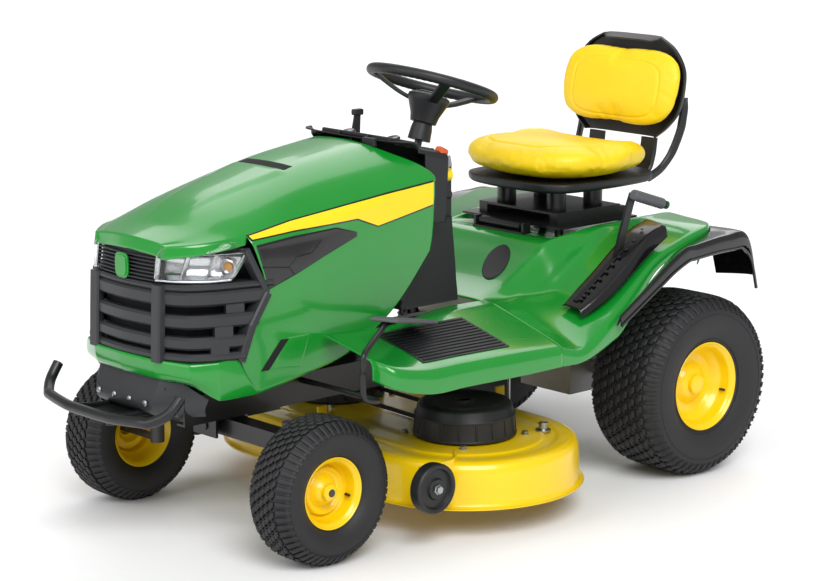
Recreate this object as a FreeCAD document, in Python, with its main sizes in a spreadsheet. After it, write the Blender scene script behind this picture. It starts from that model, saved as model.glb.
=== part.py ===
"""Riding lawn mower: a lawn tractor with a 42 inch two-blade deck, as a parametric FreeCAD document.

Frame: +X points forward, +Y to the operator's left, +Z up. The origin is on the ground, under the middle
of the whole machine. Lengths are millimetres. Places along the machine are measured forward from the
rear axle, and rx() turns them into the frame's X.
"""

import FreeCAD
import Part

import math
import os

import Sketcher  # noqa: F401  registers the sketch types

V = FreeCAD.Vector
AXIS_X, AXIS_Y, AXIS_Z = V(1, 0, 0), V(0, 1, 0), V(0, 0, 1)

doc = FreeCAD.newDocument("riding_mower")
dims = doc.addObject("Spreadsheet::Sheet", "Dims")
nodes = []
frame_pieces = []

DRIVING = {
    # the machine as a whole
    "wheelbase": 1240, "rear_axle_x": -662,
    # wheels
    "front_tyre_radius": 177.5, "front_tyre_width": 144, "front_track": 748, "front_bead": 76,
    "front_flange": 87, "rear_tyre_radius": 242, "rear_tyre_width": 232, "rear_track": 782,
    "rear_bead": 106, "rear_flange": 118, "stub_radius": 9.5, "axle_radius": 12.7, "run_clearance": 0.05,
    # steering
    "kingpin_y": 262, "kingpin_radius": 10, "steering_arm": 95, "column_lean": 18.5, "wheel_ring_radius": 161,
    "wheel_grip_radius": 14, "wheel_centre_x": 534, "wheel_centre_z": 1045,
    # frame
    "rail_bottom": 330, "rail_height": 70, "rail_outer_y": 170, "rail_flange": 30, "rail_wall": 5,
    "rail_rear": -170, "rail_front": 1478, "pivot_height": 270, "pivot_pin_radius": 12,
    # hood
    "hood_wall": 4, "hood_hinge_x": 1500, "hood_hinge_z": 395,
    # mower deck
    "deck_lip_z": 80, "deck_top_z": 195, "deck_radius": 290, "deck_wall": 4, "deck_lip": 12,
    "left_spindle_x": 680, "left_spindle_y": 280, "right_spindle_x": 650, "right_spindle_y": -256,
    "blade_length": 530, "blade_width": 60, "blade_z": 102, "gauge_wheel_radius": 62, "gauge_wheel_width": 34,
    "gauge_wheel_x": 985, "gauge_wheel_z": 156, "spindle_radius": 12.5,
    # seat
    "seat_hinge_x": 281, "seat_hinge_z": 650,
    # towing
    "hitch_hole_radius": 9.5, "hitch_plate_thickness": 6, "hitch_hole_x": -296,
}
for row, (alias, value) in enumerate(DRIVING.items(), start=1):
    dims.set(f"A{row}", alias)
    dims.set(f"B{row}", str(value))
    dims.setAlias(f"B{row}", alias)
doc.recompute()


def size(alias):
    """The value of a driving dimension."""
    return float(dims.get(alias))


def bound(text):
    """An expression in driving dimensions, with each alias pointed at the sheet."""
    words, out = sorted(DRIVING, key=len, reverse=True), text
    for n, word in enumerate(words):
        out = out.replace(word, f"@{n}@")
    for n, word in enumerate(words):
        out = out.replace(f"@{n}@", f"Dims.{word}")
    return out


def bind(obj, prop, text):
    """Ties a property to the sheet, or sets it where the text holds no driving dimension."""
    obj.setExpression(prop, bound(str(text)))


def rx(forward):
    """An expression for a place so far forward of the rear axle."""
    return f"rear_axle_x + ({forward})"


def at(obj, x=0, y=0, z=0, axis=None, angle=0):
    """Places an object: x, y and z are expressions, and the turn is about axis by angle degrees."""
    if axis is not None:
        obj.Placement = FreeCAD.Placement(V(0, 0, 0), FreeCAD.Rotation(axis, angle))
    for name, text in (("x", x), ("y", y), ("z", z)):
        bind(obj, f"Placement.Base.{name}", text)
    return obj


def box(name, lx, ly, lz, x, y, z):
    """A block with its lowest corner at x, y, z."""
    obj = doc.addObject("Part::Box", name)
    bind(obj, "Length", lx)
    bind(obj, "Width", ly)
    bind(obj, "Height", lz)
    return at(obj, x, y, z)


TURNS = {"z": (None, 0), "x": (AXIS_Y, 90), "y": (AXIS_X, -90)}


def rod(name, radius, length, x, y, z, along="z"):
    """A cylinder that starts at x, y, z and runs along an axis."""
    obj = doc.addObject("Part::Cylinder", name)
    bind(obj, "Radius", radius)
    bind(obj, "Height", length)
    axis, angle = TURNS[along]
    return at(obj, x, y, z, axis, angle)


def cone(name, low_radius, high_radius, length, x, y, z, along="z"):
    """A cone that starts at x, y, z and runs along an axis."""
    obj = doc.addObject("Part::Cone", name)
    bind(obj, "Radius1", low_radius)
    bind(obj, "Radius2", high_radius)
    bind(obj, "Height", length)
    axis, angle = TURNS[along]
    return at(obj, x, y, z, axis, angle)


def fuse(name, *parts):
    """One solid from several that touch."""
    obj = doc.addObject("Part::MultiFuse", name)
    obj.Shapes = list(parts)
    obj.Refine = True
    return obj


def cut(name, base, *tools):
    """A base with tools taken away."""
    tool = tools[0] if len(tools) == 1 else fuse(name + "_tool", *tools)
    obj = doc.addObject("Part::Cut", name)
    obj.Base, obj.Tool, obj.Refine = base, tool, True
    return obj


def group(name, *parts):
    """Separate solids that share one node."""
    obj = doc.addObject("Part::Compound", name)
    obj.Links = list(parts)
    return obj


def shaped(name, shape):
    """A sub-part whose form needs Part's own functions."""
    obj = doc.addObject("Part::Feature", name)
    obj.Shape = shape
    return obj


def node(obj, label):
    """Marks an object as a sub-part and names its file."""
    obj.Label = label
    nodes.append(obj)
    return obj


def origin_plane(body, role):
    """One of a body's own origin planes."""
    return next(f for f in body.Origin.OriginFeatures if f.Role == role)


def sketch_outline(body, role, points):
    """A closed outline whose corners are driven by expressions."""
    sketch = body.newObject("Sketcher::SketchObject", body.Name + "_outline")
    sketch.AttachmentSupport = [(origin_plane(body, role), "")]
    sketch.MapMode = "FlatFace"
    count = len(points)
    values = [[number_of(a), number_of(b)] for a, b in points]
    for i in range(count):
        (x0, y0), (x1, y1) = values[i], values[(i + 1) % count]
        sketch.addGeometry(Part.LineSegment(V(x0, y0, 0), V(x1, y1, 0)))
    for i in range(count):
        sketch.addConstraint(Sketcher.Constraint("Coincident", i, 2, (i + 1) % count, 1))
    for i, (a, b) in enumerate(points):
        for kind, text, value in (("DistanceX", a, values[i][0]), ("DistanceY", b, values[i][1])):
            if abs(value) < 1e-9:
                on_axis = -2 if kind == "DistanceX" else -1
                sketch.addConstraint(Sketcher.Constraint("PointOnObject", i, 1, on_axis))
                continue
            spot = sketch.addConstraint(Sketcher.Constraint(kind, -1, 1, i, 1, value))
            sketch.setExpression(f"Constraints[{spot}]", bound(str(text)))
    return sketch


def number_of(text):
    """The number that an expression in driving dimensions gives now."""
    scope = {alias: size(alias) for alias in DRIVING if alias in str(text)}
    out = str(text)
    for alias in sorted(scope, key=len, reverse=True):
        out = out.replace(alias, repr(scope[alias]))
    return float(FreeCAD.Units.Quantity(f"({out})").Value) if scope or not is_number(out) else float(out)


def is_number(text):
    """Whether a text is a plain number."""
    try:
        float(text)
    except ValueError:
        return False
    return True


def padded(name, role, points, length, midplane=False):
    """A plate: an outline on an origin plane, padded to a length."""
    body = doc.addObject("PartDesign::Body", name)
    sketch = sketch_outline(body, role, points)
    pad = body.newObject("PartDesign::Pad", name + "_pad")
    pad.Profile = sketch
    bind(pad, "Length", length)
    pad.Midplane = midplane
    return body


def turned(name, points):
    """A ring: an outline in radius and height, revolved about the body's own Y axis."""
    body = doc.addObject("PartDesign::Body", name)
    sketch = sketch_outline(body, "XY_Plane", points)
    spin = body.newObject("PartDesign::Revolution", name + "_turn")
    spin.Profile = sketch
    spin.ReferenceAxis = (sketch, ["V_Axis"])
    spin.Angle = 360
    return body


def prism(points, low, high):
    """A vertical prism from an outline in forward distance and y, between two heights."""
    back = size("rear_axle_x")
    wire = Part.makePolygon([V(back + x, y, low) for x, y in points + points[:1]])
    return Part.Face(wire).extrude(V(0, 0, high - low))


def side_prism(points, low, high):
    """A prism across the machine, from an outline in forward distance and height, between two y."""
    back = size("rear_axle_x")
    wire = Part.makePolygon([V(back + x, low, z) for x, z in points + points[:1]])
    return Part.Face(wire).extrude(V(0, high - low, 0))


def mirrored(shape):
    """The same shape on the machine's other side."""
    return shape.mirror(V(0, 0, 0), AXIS_Y)


def offset_path(path, wall):
    """A path of (y, z) moved by wall to its right-hand side, corner by corner."""
    out, last = [], len(path) - 1
    for i, (y, z) in enumerate(path):
        before, after = path[max(i - 1, 0)], path[min(i + 1, last)]
        normals = []
        for (ya, za), (yb, zb) in ((before, (y, z)), ((y, z), after)):
            run = math.hypot(yb - ya, zb - za)
            if run > 1e-6:
                normals.append(((zb - za) / run, -(yb - ya) / run))
        ny, nz = (sum(n[k] for n in normals) / len(normals) for k in (0, 1))
        scale = wall / max(ny * ny + nz * nz, 0.3)
        out.append((y + ny * scale, z + nz * scale))
    return out


def sheet_loft(sections, wall):
    """A bent sheet: at each forward distance an outer path of (y, z), given a wall and joined to the next."""
    back, wires = size("rear_axle_x"), []
    for x, path in sections:
        ring = list(path) + offset_path(path, -wall)[::-1]
        wires.append(Part.makePolygon([V(back + x, y, z) for y, z in ring + ring[:1]]))
    return Part.makeLoft(wires, True, True)


def tube(points, radius, bend):
    """A round bar along straight runs with arcs of one radius at the corners."""
    edges, start = [], points[0]
    for i in range(1, len(points) - 1):
        corner = points[i]
        into, out = (corner - points[i - 1]).normalize(), (points[i + 1] - corner).normalize()
        turn = math.acos(max(-1, min(1, into.dot(out))))
        back = bend * math.tan(turn / 2)
        a, b = corner - into * back, corner + out * back
        middle = (out - into).normalize()
        centre = corner + middle * (bend / math.cos(turn / 2))
        edges.append(Part.LineSegment(start, a).toShape())
        edges.append(Part.Arc(a, centre - middle * bend, b).toShape())
        start = b
    edges.append(Part.LineSegment(start, points[-1]).toShape())
    path = Part.Wire(edges)
    way = (points[1] - points[0]).normalize()
    ring = Part.Wire(Part.makeCircle(radius, points[0], way))
    return path.makePipeShell([ring], True, False, 2)


def spot(x, y, z):
    """A point so far forward of the rear axle."""
    return V(size("rear_axle_x") + x, y, z)


def plan_loft(levels, wall):
    """A bent sheet standing up: at each height a path of (forward, y), given a wall."""
    wires = []
    for z, path in levels:
        ring = list(path) + offset_path(path, wall)[::-1]
        points = [spot(x, y, z) for x, y in ring]
        wires.append(Part.makePolygon(points + points[:1]))
    return Part.makeLoft(wires, True, True)


def full(half):
    """A whole path from its left half, which ends on the middle line."""
    return half + [(-y, z) for y, z in half[-2::-1]]


def hull(circles, low, height):
    """A slab round two circles of (forward, y, radius), with the straight runs between them."""
    (xa, ya, ra), (xb, yb, rb) = circles
    reach, heading = math.hypot(xb - xa, yb - ya), math.atan2(yb - ya, xb - xa)
    lean = math.acos((ra - rb) / reach)

    def rim(x, y, radius, angle):
        return spot(x + radius * math.cos(angle), y + radius * math.sin(angle), low)

    a_left, a_right = rim(xa, ya, ra, heading + lean), rim(xa, ya, ra, heading - lean)
    b_left, b_right = rim(xb, yb, rb, heading + lean), rim(xb, yb, rb, heading - lean)
    edges = [
        Part.Arc(a_left, rim(xa, ya, ra, heading + math.pi), a_right).toShape(),
        Part.LineSegment(a_right, b_right).toShape(),
        Part.Arc(b_right, rim(xb, yb, rb, heading), b_left).toShape(),
        Part.LineSegment(b_left, a_left).toShape(),
    ]
    return Part.Face(Part.Wire(edges)).extrude(V(0, 0, height))


def pin(radius, start, end):
    """A round bar between two points."""
    return Part.makeCylinder(radius, (end - start).Length, start, end - start)


def rounded(shape, radius):
    """A shape with every edge rounded."""
    return shape.makeFillet(radius, shape.Edges)


# ------------------------------------------------------------------ frame


def build_frame():
    """Two channel rails with the engine plate across them, and the rear plate with its hitch tongue."""
    outer, foot, tall, lip, wall = "rail_outer_y", "rail_bottom", "rail_height", "rail_flange", "rail_wall"
    profile = [
        (outer, foot), (outer, f"{foot} + {tall}"), (f"{outer} - {lip}", f"{foot} + {tall}"),
        (f"{outer} - {lip}", f"{foot} + {tall} - {wall}"), (f"{outer} - {wall}", f"{foot} + {tall} - {wall}"),
        (f"{outer} - {wall}", f"{foot} + {wall}"), (f"{outer} - {lip}", f"{foot} + {wall}"),
        (f"{outer} - {lip}", foot),
    ]
    rails = []
    for side, sign in (("left", 1), ("right", -1)):
        outline = profile if sign > 0 else [(f"-({y})", z) for y, z in profile]
        rail = padded(f"rail_{side}_channel", "YZ_Plane", outline, "rail_front - rail_rear")
        at(rail, x=rx("rail_rear"))
        low = "rail_outer_y - rail_wall - 10" if sign > 0 else "-(rail_outer_y + 10)"
        holes = [
            rod(f"rail_{side}_lift_hole", 9.05, 30, rx(330), low, 360, "y"),
            rod(f"rail_{side}_pedal_hole", 8.05, 30, rx(1120), low, 386, "y"),
        ]
        if sign < 0:
            holes.append(rod("rail_right_reverse_hole", 7.05, 30, rx(1040), low, 386, "y"))
        rails.append(cut(f"rail_{side}", rail, *holes))
    frame_pieces.extend(rails)
    plate = box("engine_plate_sheet", 480, "2 * rail_outer_y", 4, rx(870), "-rail_outer_y",
                "rail_bottom + rail_height")
    opening = rod("engine_plate_hole", 42, 10, rx(1180), 0, "rail_bottom + rail_height - 2")
    frame_pieces.append(cut("engine_plate", plate, opening))
    tall_plate = box("rear_plate_sheet", 6, "2 * rail_outer_y", 120, rx("rail_rear - 6"),
                     "-rail_outer_y", 286)
    length = "rail_rear - 6 - hitch_hole_x + 24"
    tongue = box("hitch_tongue", length, 90, "hitch_plate_thickness", rx("hitch_hole_x - 24"), -45, 286)
    holes = [rod("hitch_hole", "hitch_hole_radius", 20, rx("hitch_hole_x"), 0, 280)]
    for k, (y, z) in enumerate(((-110, 310), (110, 310), (-110, 380), (110, 380))):
        holes.append(rod(f"rear_bolt_hole_{k}", 5.5, 20, rx("rail_rear - 12"), y, z, "x"))
    node(cut("rear_plate_cut", fuse("rear_plate_blank", tall_plate, tongue), *holes), "rear_hitch_plate")


def build_front_end():
    """The axle hanger, the bumper tube with its arms, the nose panel and the hood's hinge rod."""
    parts = [box("hanger_top", 100, "2 * rail_outer_y", 5, rx(1190), "-rail_outer_y", "rail_bottom - 5")]
    for k, x in enumerate((1190, 1283)):
        parts.append(box(f"hanger_ear_{k}", 7, 90, 80, rx(x), -45, 245))
    parts.append(rod("hanger_pin", "pivot_pin_radius", 108, rx(1186), 0, "pivot_height", "x"))
    frame_pieces.append(fuse("axle_hanger", *parts))
    path = [spot(1545, 245, 425), spot(1626, 152, 366), spot(1632, 0, 360), spot(1626, -152, 366),
            spot(1545, -245, 425)]
    shape = tube(path, 13, 60)
    back = size("rear_axle_x")
    for y in (-70, 60):
        shape = shape.fuse(Part.makeBox(1628 - 1478, 10, 30, V(back + 1478, y, 332)))
    shape = shape.fuse(Part.makeBox(6, 340, 52, V(back + 1478, -170, 332)))
    bar = shaped("bumper_bar", shape.removeSplitter())
    outline = [(1484.5, 384), (1500, 383), (1530, 374), (1534, 364), (1530, 364), (1527, 371), (1499, 379),
               (1484.5, 380)]
    node(group("bumper_group", bar, shaped("nose_panel", side_prism(outline, -185, 185))), "bumper")
    hinge = [rod("hinge_bar", 6, 268, rx("hood_hinge_x"), -134, "hood_hinge_z + 25", "y")]
    for k, y in enumerate((-110, 104)):
        hinge.append(box(f"hinge_post_{k}", 24, 6, 36, rx("hood_hinge_x - 60"), y, 404))
        hinge.append(box(f"hinge_arm_{k}", 62, 6, 14, rx("hood_hinge_x - 50"), y, "hood_hinge_z + 18"))
    frame_pieces.append(fuse("hood_hinge", *hinge))
    node(group("frame_group", *frame_pieces), "frame")


# ------------------------------------------------------------------ power train


def build_engine():
    """Crankcase with two finned cylinders, fan shroud, muffler and battery."""
    block = [rod("crankcase", 120, 116, rx(1180), 0, 404), rod("crankcase_neck", 84, 80, rx(1180), 0, 520),
             rod("crankshaft", 12.5, 69, rx(1180), 0, 335)]
    for side, sign in (("left", 1), ("right", -1)):
        for k in range(6):
            low = 92 + 12 * k if sign > 0 else -98 - 12 * k
            block.append(box(f"fin_{side}_{k}", 104, 6, 104, rx(1232), low, 412))
        block.append(box(f"barrel_{side}", 70, 92, 84, rx(1248), 70 if sign > 0 else -162, 422))
    engine = fuse("engine_block_fuse", *block)
    shroud = fuse("shroud_blank", rod("shroud_drum", 168, 110, rx(1180), 0, 600),
                  rod("shroud_screen", 96, 22, rx(1180), 0, 710),
                  box("air_box", 150, 190, 90, rx(1000), -95, 610))
    inner = rod("shroud_hollow", 162, 104, rx(1180), 0, 600)
    node(cut("shroud_cut", shroud, inner), "fan_shroud")
    can = fuse("muffler_fuse", rod("muffler_can", 48, 240, rx(1392), -120, 470, "y"),
               box("muffler_foot", 40, 160, 24, rx(1372), -80, 404),
               rod("tail_pipe", 13, 90, rx(1392), 60, 360))
    node(group("engine_group", engine, can), "engine_block")
    node(fuse("battery_fuse", box("battery_case", 126, 190, 160, rx(880), -95, 404),
              rod("post_plus", 8, 16, rx(905), 70, 564),
              rod("post_minus", 8, 16, rx(905), -70, 564)), "battery")


def build_drive():
    """Transaxle with its axle bores, the two drive pulleys and the belt between them."""
    case = [box("gear_case", 200, 190, 155, rx(-90), -95, 165),
            rod("axle_tube", 36, 300, rx(0), -150, 242, "y"),
            rod("pump_shaft", 8, 18, rx(20), 0, 320)]
    bores = [rod("axle_bore_left", "axle_radius + run_clearance", 60, rx(0), 95, 242, "y"),
             rod("axle_bore_right", "axle_radius + run_clearance", 60, rx(0), -155, 242, "y")]
    node(cut("transaxle_cut", fuse("transaxle_blank", *case), *bores), "transaxle")
    pulleys = []
    places = (("pump_pulley", 20, 70, 8, 338), ("crank_pulley", 1180, 50, 12.5, 338))
    for name, x, radius, bore, low in places:
        disc = fuse(f"{name}_disc", rod(f"{name}_groove", radius - 6, 12, rx(x), 0, low),
                    rod(f"{name}_low_flange", radius, 2, rx(x), 0, low - 2),
                    rod(f"{name}_top_flange", radius, 2, rx(x), 0, low + 12))
        pulleys.append(cut(name, disc, rod(f"{name}_bore", bore, 30, rx(x), 0, low - 8)))
    node(group("drive_pulleys_group", *pulleys), "drive_pulleys")
    loop = hull(((20, 0, 71), (1180, 0, 51)), 339, 9).cut(hull(((20, 0, 64.4), (1180, 0, 44.4)), 338, 12))
    node(shaped("drive_belt_shape", loop), "drive_belt")
    outline = [(70, 412), (466, 412), (466, 512), (340, 578), (70, 578)]
    tank = rounded(side_prism(outline, -138, 138), 14)
    neck = pin(26, spot(110, -120, 520), spot(90, -196, 560))
    node(shaped("fuel_tank_shape", tank.fuse(neck)), "fuel_tank")


# ------------------------------------------------------------------ wheels


def rim_outline(flange, bead, half, dish, hub, hub_in, hub_out, bore):
    """A pressed rim in (radius, sideways): two flanges, bead seats, a well, a dished disc and a hub."""
    well = f"{bead} - 14"
    return [
        (flange, half), (flange, half - 3), (f"{bead} + 3", half - 6), (bead, half - 11), (bead, half - 35),
        (f"{bead} - 11", half - 45), (f"{bead} - 11", 45 - half), (bead, 35 - half), (bead, 11 - half),
        (f"{bead} + 3", 6 - half), (flange, 3 - half), (flange, -half), (f"{bead} - 3", 8 - half),
        (f"{bead} - 3", 36 - half), (well, 46 - half), (well, dish - 6), (f"0.75 * {bead}", dish - 12),
        (f"0.42 * {bead}", dish), (hub, dish), (hub, -hub_in), (bore, -hub_in), (bore, hub_out),
        (hub, hub_out),
        (hub, dish + 3), (f"0.42 * {bead}", dish + 3), (f"0.75 * {bead}", dish - 9), (well, dish - 2),
        (well, half - 46), (f"{bead} - 3", half - 36), (f"{bead} - 3", half - 8),
    ]


def tyre_outline(flange, bead, half, radius, width):
    """A tyre's carcass in (radius, sideways), seated on the rim's beads with a hair of clearance."""
    seat, side, tall = f"{bead} + 0.2", f"{width} / 2", f"({radius} - {flange})"
    outer = [(seat, half - 12), (f"{bead} + 3.4", half - 7), (f"{flange} + 0.5", half - 4),
             (f"{flange} + 0.25 * {tall}", f"{side} - 7"), (f"{flange} + 0.5 * {tall}", side),
             (f"{flange} + 0.74 * {tall}", f"{side} - 3"), (f"{radius} - 12", f"{side} - 14"),
             (f"{radius} - 3", f"{side} - 32"), (radius, f"{side} - 52")]
    inner = [(f"{radius} - 12", f"{side} - 46"), (f"{radius} - 20", f"{side} - 24"),
             (f"{flange} + 0.7 * {tall}", f"{side} - 12"), (f"{flange} + 0.5 * {tall}", f"{side} - 9"),
             (f"{flange} + 0.25 * {tall}", f"{side} - 16"), (seat, half - 33)]
    far = [(r, f"-({y})") for r, y in outer[::-1]] + [(r, f"-({y})") for r, y in inner[::-1]]
    return outer + far + inner


def build_wheels():
    """Four wheels: a pressed rim and a tyre each, and the rear ones with their axle shafts."""
    sets = (
        ("front", "wheelbase", "front_track", "front_tyre_radius", "front_tyre_width", "front_flange",
         "front_bead", 52, 4, 17, 46, 42, "stub_radius + run_clearance"),
        ("rear", "0", "rear_track", "rear_tyre_radius", "rear_tyre_width", "rear_flange",
         "rear_bead", 98, 30, 22, 20, 42, "axle_radius"),
    )
    for name, x, track, radius, width, flange, bead, half, dish, hub, hub_in, hub_out, bore in sets:
        for side, sign in (("left", 1), ("right", -1)):
            outline = rim_outline(flange, bead, half, dish, hub, hub_in, hub_out, bore)
            rim = turned(f"{name}_rim_{side}_body", outline)
            tyre = turned(f"{name}_tyre_{side}_body", tyre_outline(flange, bead, half, radius, width))
            for obj in (rim, tyre):
                axis, angle = (None, 0) if sign > 0 else (AXIS_Z, 180)
                at(obj, rx(x), f"{sign} * {track} / 2", radius, axis, angle)
            if name == "rear":
                low = 100 if sign > 0 else -436
                shaft = rod(f"rear_axle_{side}", "axle_radius", 336, rx(0), low, "rear_tyre_radius", "y")
                rim = group(f"rear_rim_{side}_group", rim, shaft)
            node(rim, f"{name}_rim_{side}")
            node(tyre, f"{name}_tyre_{side}")


def column():
    """The steering wheel's centre, and the way down its shaft."""
    lean = math.radians(size("column_lean"))
    return spot(size("wheel_centre_x"), 0, size("wheel_centre_z")), V(math.sin(lean), 0, -math.cos(lean))


def build_steering():
    """The pivoting front axle beam, its two kingpins with stub axles, the steering wheel and its shaft."""
    beam = [box("beam", 50, "2 * kingpin_y - 30", 44, rx("wheelbase - 25"), "-(kingpin_y - 15)", 248)]
    tools = [rod("beam_pivot_hole", "pivot_pin_radius + run_clearance", 80, rx("wheelbase - 40"), 0,
                 "pivot_height", "x")]
    for side, sign in (("left", 1), ("right", -1)):
        beam.append(rod(f"sleeve_{side}", 17, 70, rx("wheelbase"), f"{sign} * kingpin_y", 235))
        tools.append(rod(f"sleeve_bore_{side}", "kingpin_radius + run_clearance", 90, rx("wheelbase"),
                         f"{sign} * kingpin_y", 225))
    node(cut("front_axle_cut", fuse("front_axle_blank", *beam), *tools), "front_axle")
    parts = [
        rod("kingpin_pin", "kingpin_radius", 88, rx("wheelbase"), "kingpin_y", 225),
        rod("kingpin_boss", 18, 66, rx("wheelbase"), "kingpin_y", 168),
        rod("kingpin_stub", "stub_radius", 152, rx("wheelbase"), "kingpin_y + 6", "front_tyre_radius", "y"),
        rod("kingpin_head", 16, 14, rx("wheelbase"), "kingpin_y", 306),
        box("kingpin_arm", "steering_arm - 7", 15, 8, rx("wheelbase - steering_arm"), "kingpin_y - 7", 309),
    ]
    left = node(fuse("kingpin_left_fuse", *parts), "kingpin_left")
    right = doc.addObject("Part::Mirroring", "kingpin_right_mirror")
    right.Source, right.Normal, right.Base = left, AXIS_Y, V(0, 0, 0)
    node(right, "kingpin_right")
    ring = doc.addObject("Part::Torus", "steering_ring")
    bind(ring, "Radius1", "wheel_ring_radius")
    bind(ring, "Radius2", "wheel_grip_radius")
    hub = cone("steering_hub", 34, 52, 60, 0, 0, -104)
    cap = rod("steering_cap", 52, 14, 0, 0, -44)
    spokes = []
    for k, turn in enumerate((0, 120, 240)):
        spoke = Part.makeBox(150, 30, 12, V(36, -15, -6))
        spoke.rotate(V(36, 0, 0), AXIS_Y, -14)
        spoke.translate(V(0, 0, -38))
        spoke.rotate(V(0, 0, 0), AXIS_Z, 180 + turn)
        spokes.append(shaped(f"steering_spoke_{k}", spoke))
    bore = rod("steering_wheel_bore", 10, 60, 0, 0, -110)
    wheel = cut("steering_wheel_cut", fuse("steering_wheel_blank", ring, hub, cap, *spokes), bore)
    at(wheel, rx("wheel_centre_x"), 0, "wheel_centre_z", AXIS_Y, -size("column_lean"))
    node(wheel, "steering_wheel")
    centre, way = column()
    node(shaped("steering_shaft_bar", pin(10, centre + way * 52, centre + way * 660)), "steering_shaft")


# ------------------------------------------------------------------ bodywork


def build_hood():
    """The hood shell with its hinge ears, the grille, lamps and side trims."""
    wall, back = size("hood_wall"), size("rear_axle_x")
    stations = (
        (738, (246, 680), (242, 776), (232, 872), (135, 926), 936),
        (900, (250, 545), (248, 700), (236, 846), (135, 920), 930),
        (1040, (252, 450), (252, 640), (238, 822), (132, 900), 908),
        (1180, (253, 425), (254, 610), (233, 798), (130, 868), 876),
        (1330, (252, 400), (254, 580), (232, 768), (124, 830), 838),
        (1450, (228, 400), (228, 580), (192, 757), (118, 781), 790),
        (1512, (150, 440), (148, 600), (126, 752), (112, 757), 764),
    )
    sections = [(x, full([low, mid, crease, ridge, (0, top)]))
                for x, low, mid, crease, ridge, top in stations]
    shell = sheet_loft(sections, wall)
    rear_top = prism([(700, -232), (700, 232), (742, 228), (846, 142), (846, -142), (742, -228)], 850, 1000)
    rear_side = side_prism([(700, 900), (738, 846), (765, 672), (885, 547), (1040, 457), (1180, 425),
                            (1180, 300), (700, 300)], -300, 300)
    front = prism([(1330, 300), (1330, 240), (1354, 226), (1500, 115), (1500, -115), (1354, -226),
                   (1330, -240), (1330, -300), (1700, -300), (1700, 300)], 380, 742)
    vent = prism([(1090, -88), (1090, 88), (1116, 88), (1116, -88)], 860, 1000)
    shell = shell.cut(rear_top).cut(rear_side).cut(front).cut(vent)
    chin_low = [(1326, 252), (1420, 236), (1480, 213), (1518, 116), (1528, 0)]
    chin_top = [(1326, 253.4), (1424, 238), (1488, 205), (1526, 117), (1537, 0)]
    chin = plan_loft(((404, chin_path(chin_low)), (490, chin_path(chin_top))), wall)
    shell = shell.fuse(chin)
    for y in (-128, 122):
        ear = Part.makeBox(42, 6, 66, V(back + 1488, y, 408))
        ear = ear.cut(Part.makeCylinder(6.05, 20, V(back + 1500, y - 5, 420), AXIS_Y))
        shell = shell.fuse(ear)
    node(shaped("hood_shape", shell.removeSplitter()), "hood_shell")
    side = [(1334, 252), (1424, 232), (1488, 196), (1524, 117), (1535, 0)]
    upper = [(1338, 247), (1424, 214), (1486, 168), (1518, 117), (1529, 0)]
    grille = plan_loft(((491, chin_path(side)), (664, chin_path(upper))), 6)
    brow = [(1516, 116), (1528, 0)]
    brow_top = [(1504, 116), (1519, 0)]
    badge = plan_loft(((664, chin_path(brow)), (739, chin_path(brow_top))), 6)
    node(shaped("grille_shape", grille.fuse(badge)), "grille")
    lamps = []
    for k in (0, 1):
        low, top = [(1368, 231), (1440, 186), (1514, 120)], [(1357, 231), (1432, 186), (1500, 121)]
        lens = plan_loft(((666, low), (740, top)), 4)
        bowl = plan_loft(((668, [(1352, 222), (1424, 172), (1486, 120)]), (738, [(1342, 222), (1416, 172),
                                                                          (1474, 120)])), 4)
        lamps.append(shaped(f"lens_shape_{k}", lens if k == 0 else mirrored(lens)))
        lamps.append(shaped(f"bowl_shape_{k}", bowl if k == 0 else mirrored(bowl)))
    node(group("headlamps_group", *lamps), "headlamps")
    build_hood_trims()


def chin_path(half):
    """A whole path in plan from its left half."""
    return half + [(x, -y) for x, y in half[-2::-1]]


def build_hood_trims():
    """The coloured side stripes under the hood's crease, and the faceted inserts below their front."""
    stripes, inserts = [], []
    for k in (0, 1):
        stripe = sheet_loft([
            (742, [(241.9, 786), (236, 842)]), (900, [(242.5, 778), (238.1, 832)]),
            (1040, [(243.3, 765), (240.2, 805)]), (1180, [(238.4, 758), (235.4, 785)]),
            (1328, [(235, 752), (233.6, 764)]),
        ], -2.5)
        insert = sheet_loft([
            (1006, [(244.9, 744), (243.7, 758)]), (1150, [(246.9, 690), (240.6, 750)]),
            (1290, [(249, 640), (237.2, 742)]),
        ], -3)
        stripes.append(shaped(f"stripe_shape_{k}", stripe if k == 0 else mirrored(stripe)))
        inserts.append(shaped(f"insert_shape_{k}", insert if k == 0 else mirrored(insert)))
    node(group("stripes_group", *stripes), "hood_stripes")
    node(group("inserts_group", *inserts), "hood_inserts")


def fender_stations():
    """The fender deck's left half path at each forward distance, from the outer skirt to the middle."""
    return (
        (-172, [(300, 520), (302, 540), (262, 546), (235, 548), (205, 548), (180, 540), (0, 540)]),
        (-150, [(352, 600), (350, 638), (262, 648), (235, 650), (205, 646), (180, 612), (0, 612)]),
        (-60, [(428, 626), (424, 658), (265, 662), (235, 664), (205, 655), (180, 614), (0, 614)]),
        (60, [(440, 600), (436, 632), (265, 652), (235, 658), (205, 655), (180, 614), (0, 614)]),
        (164, [(446, 560), (440, 592), (265, 624), (235, 648), (205, 652), (180, 614), (0, 614)]),
        (300, [(478, 450), (465, 508), (262, 545), (235, 590), (205, 634), (180, 632), (0, 632)]),
        (364, [(486, 416), (480, 474), (262, 512), (235, 545), (205, 596), (180, 600), (0, 602)]),
        (475, [(503, 388), (498, 420), (262, 506), (235, 512), (205, 534), (180, 538), (0, 540)]),
        (560, [(506, 388), (500, 440), (262, 508), (235, 509), (205, 509), (180, 510), (0, 511)]),
    )


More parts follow.
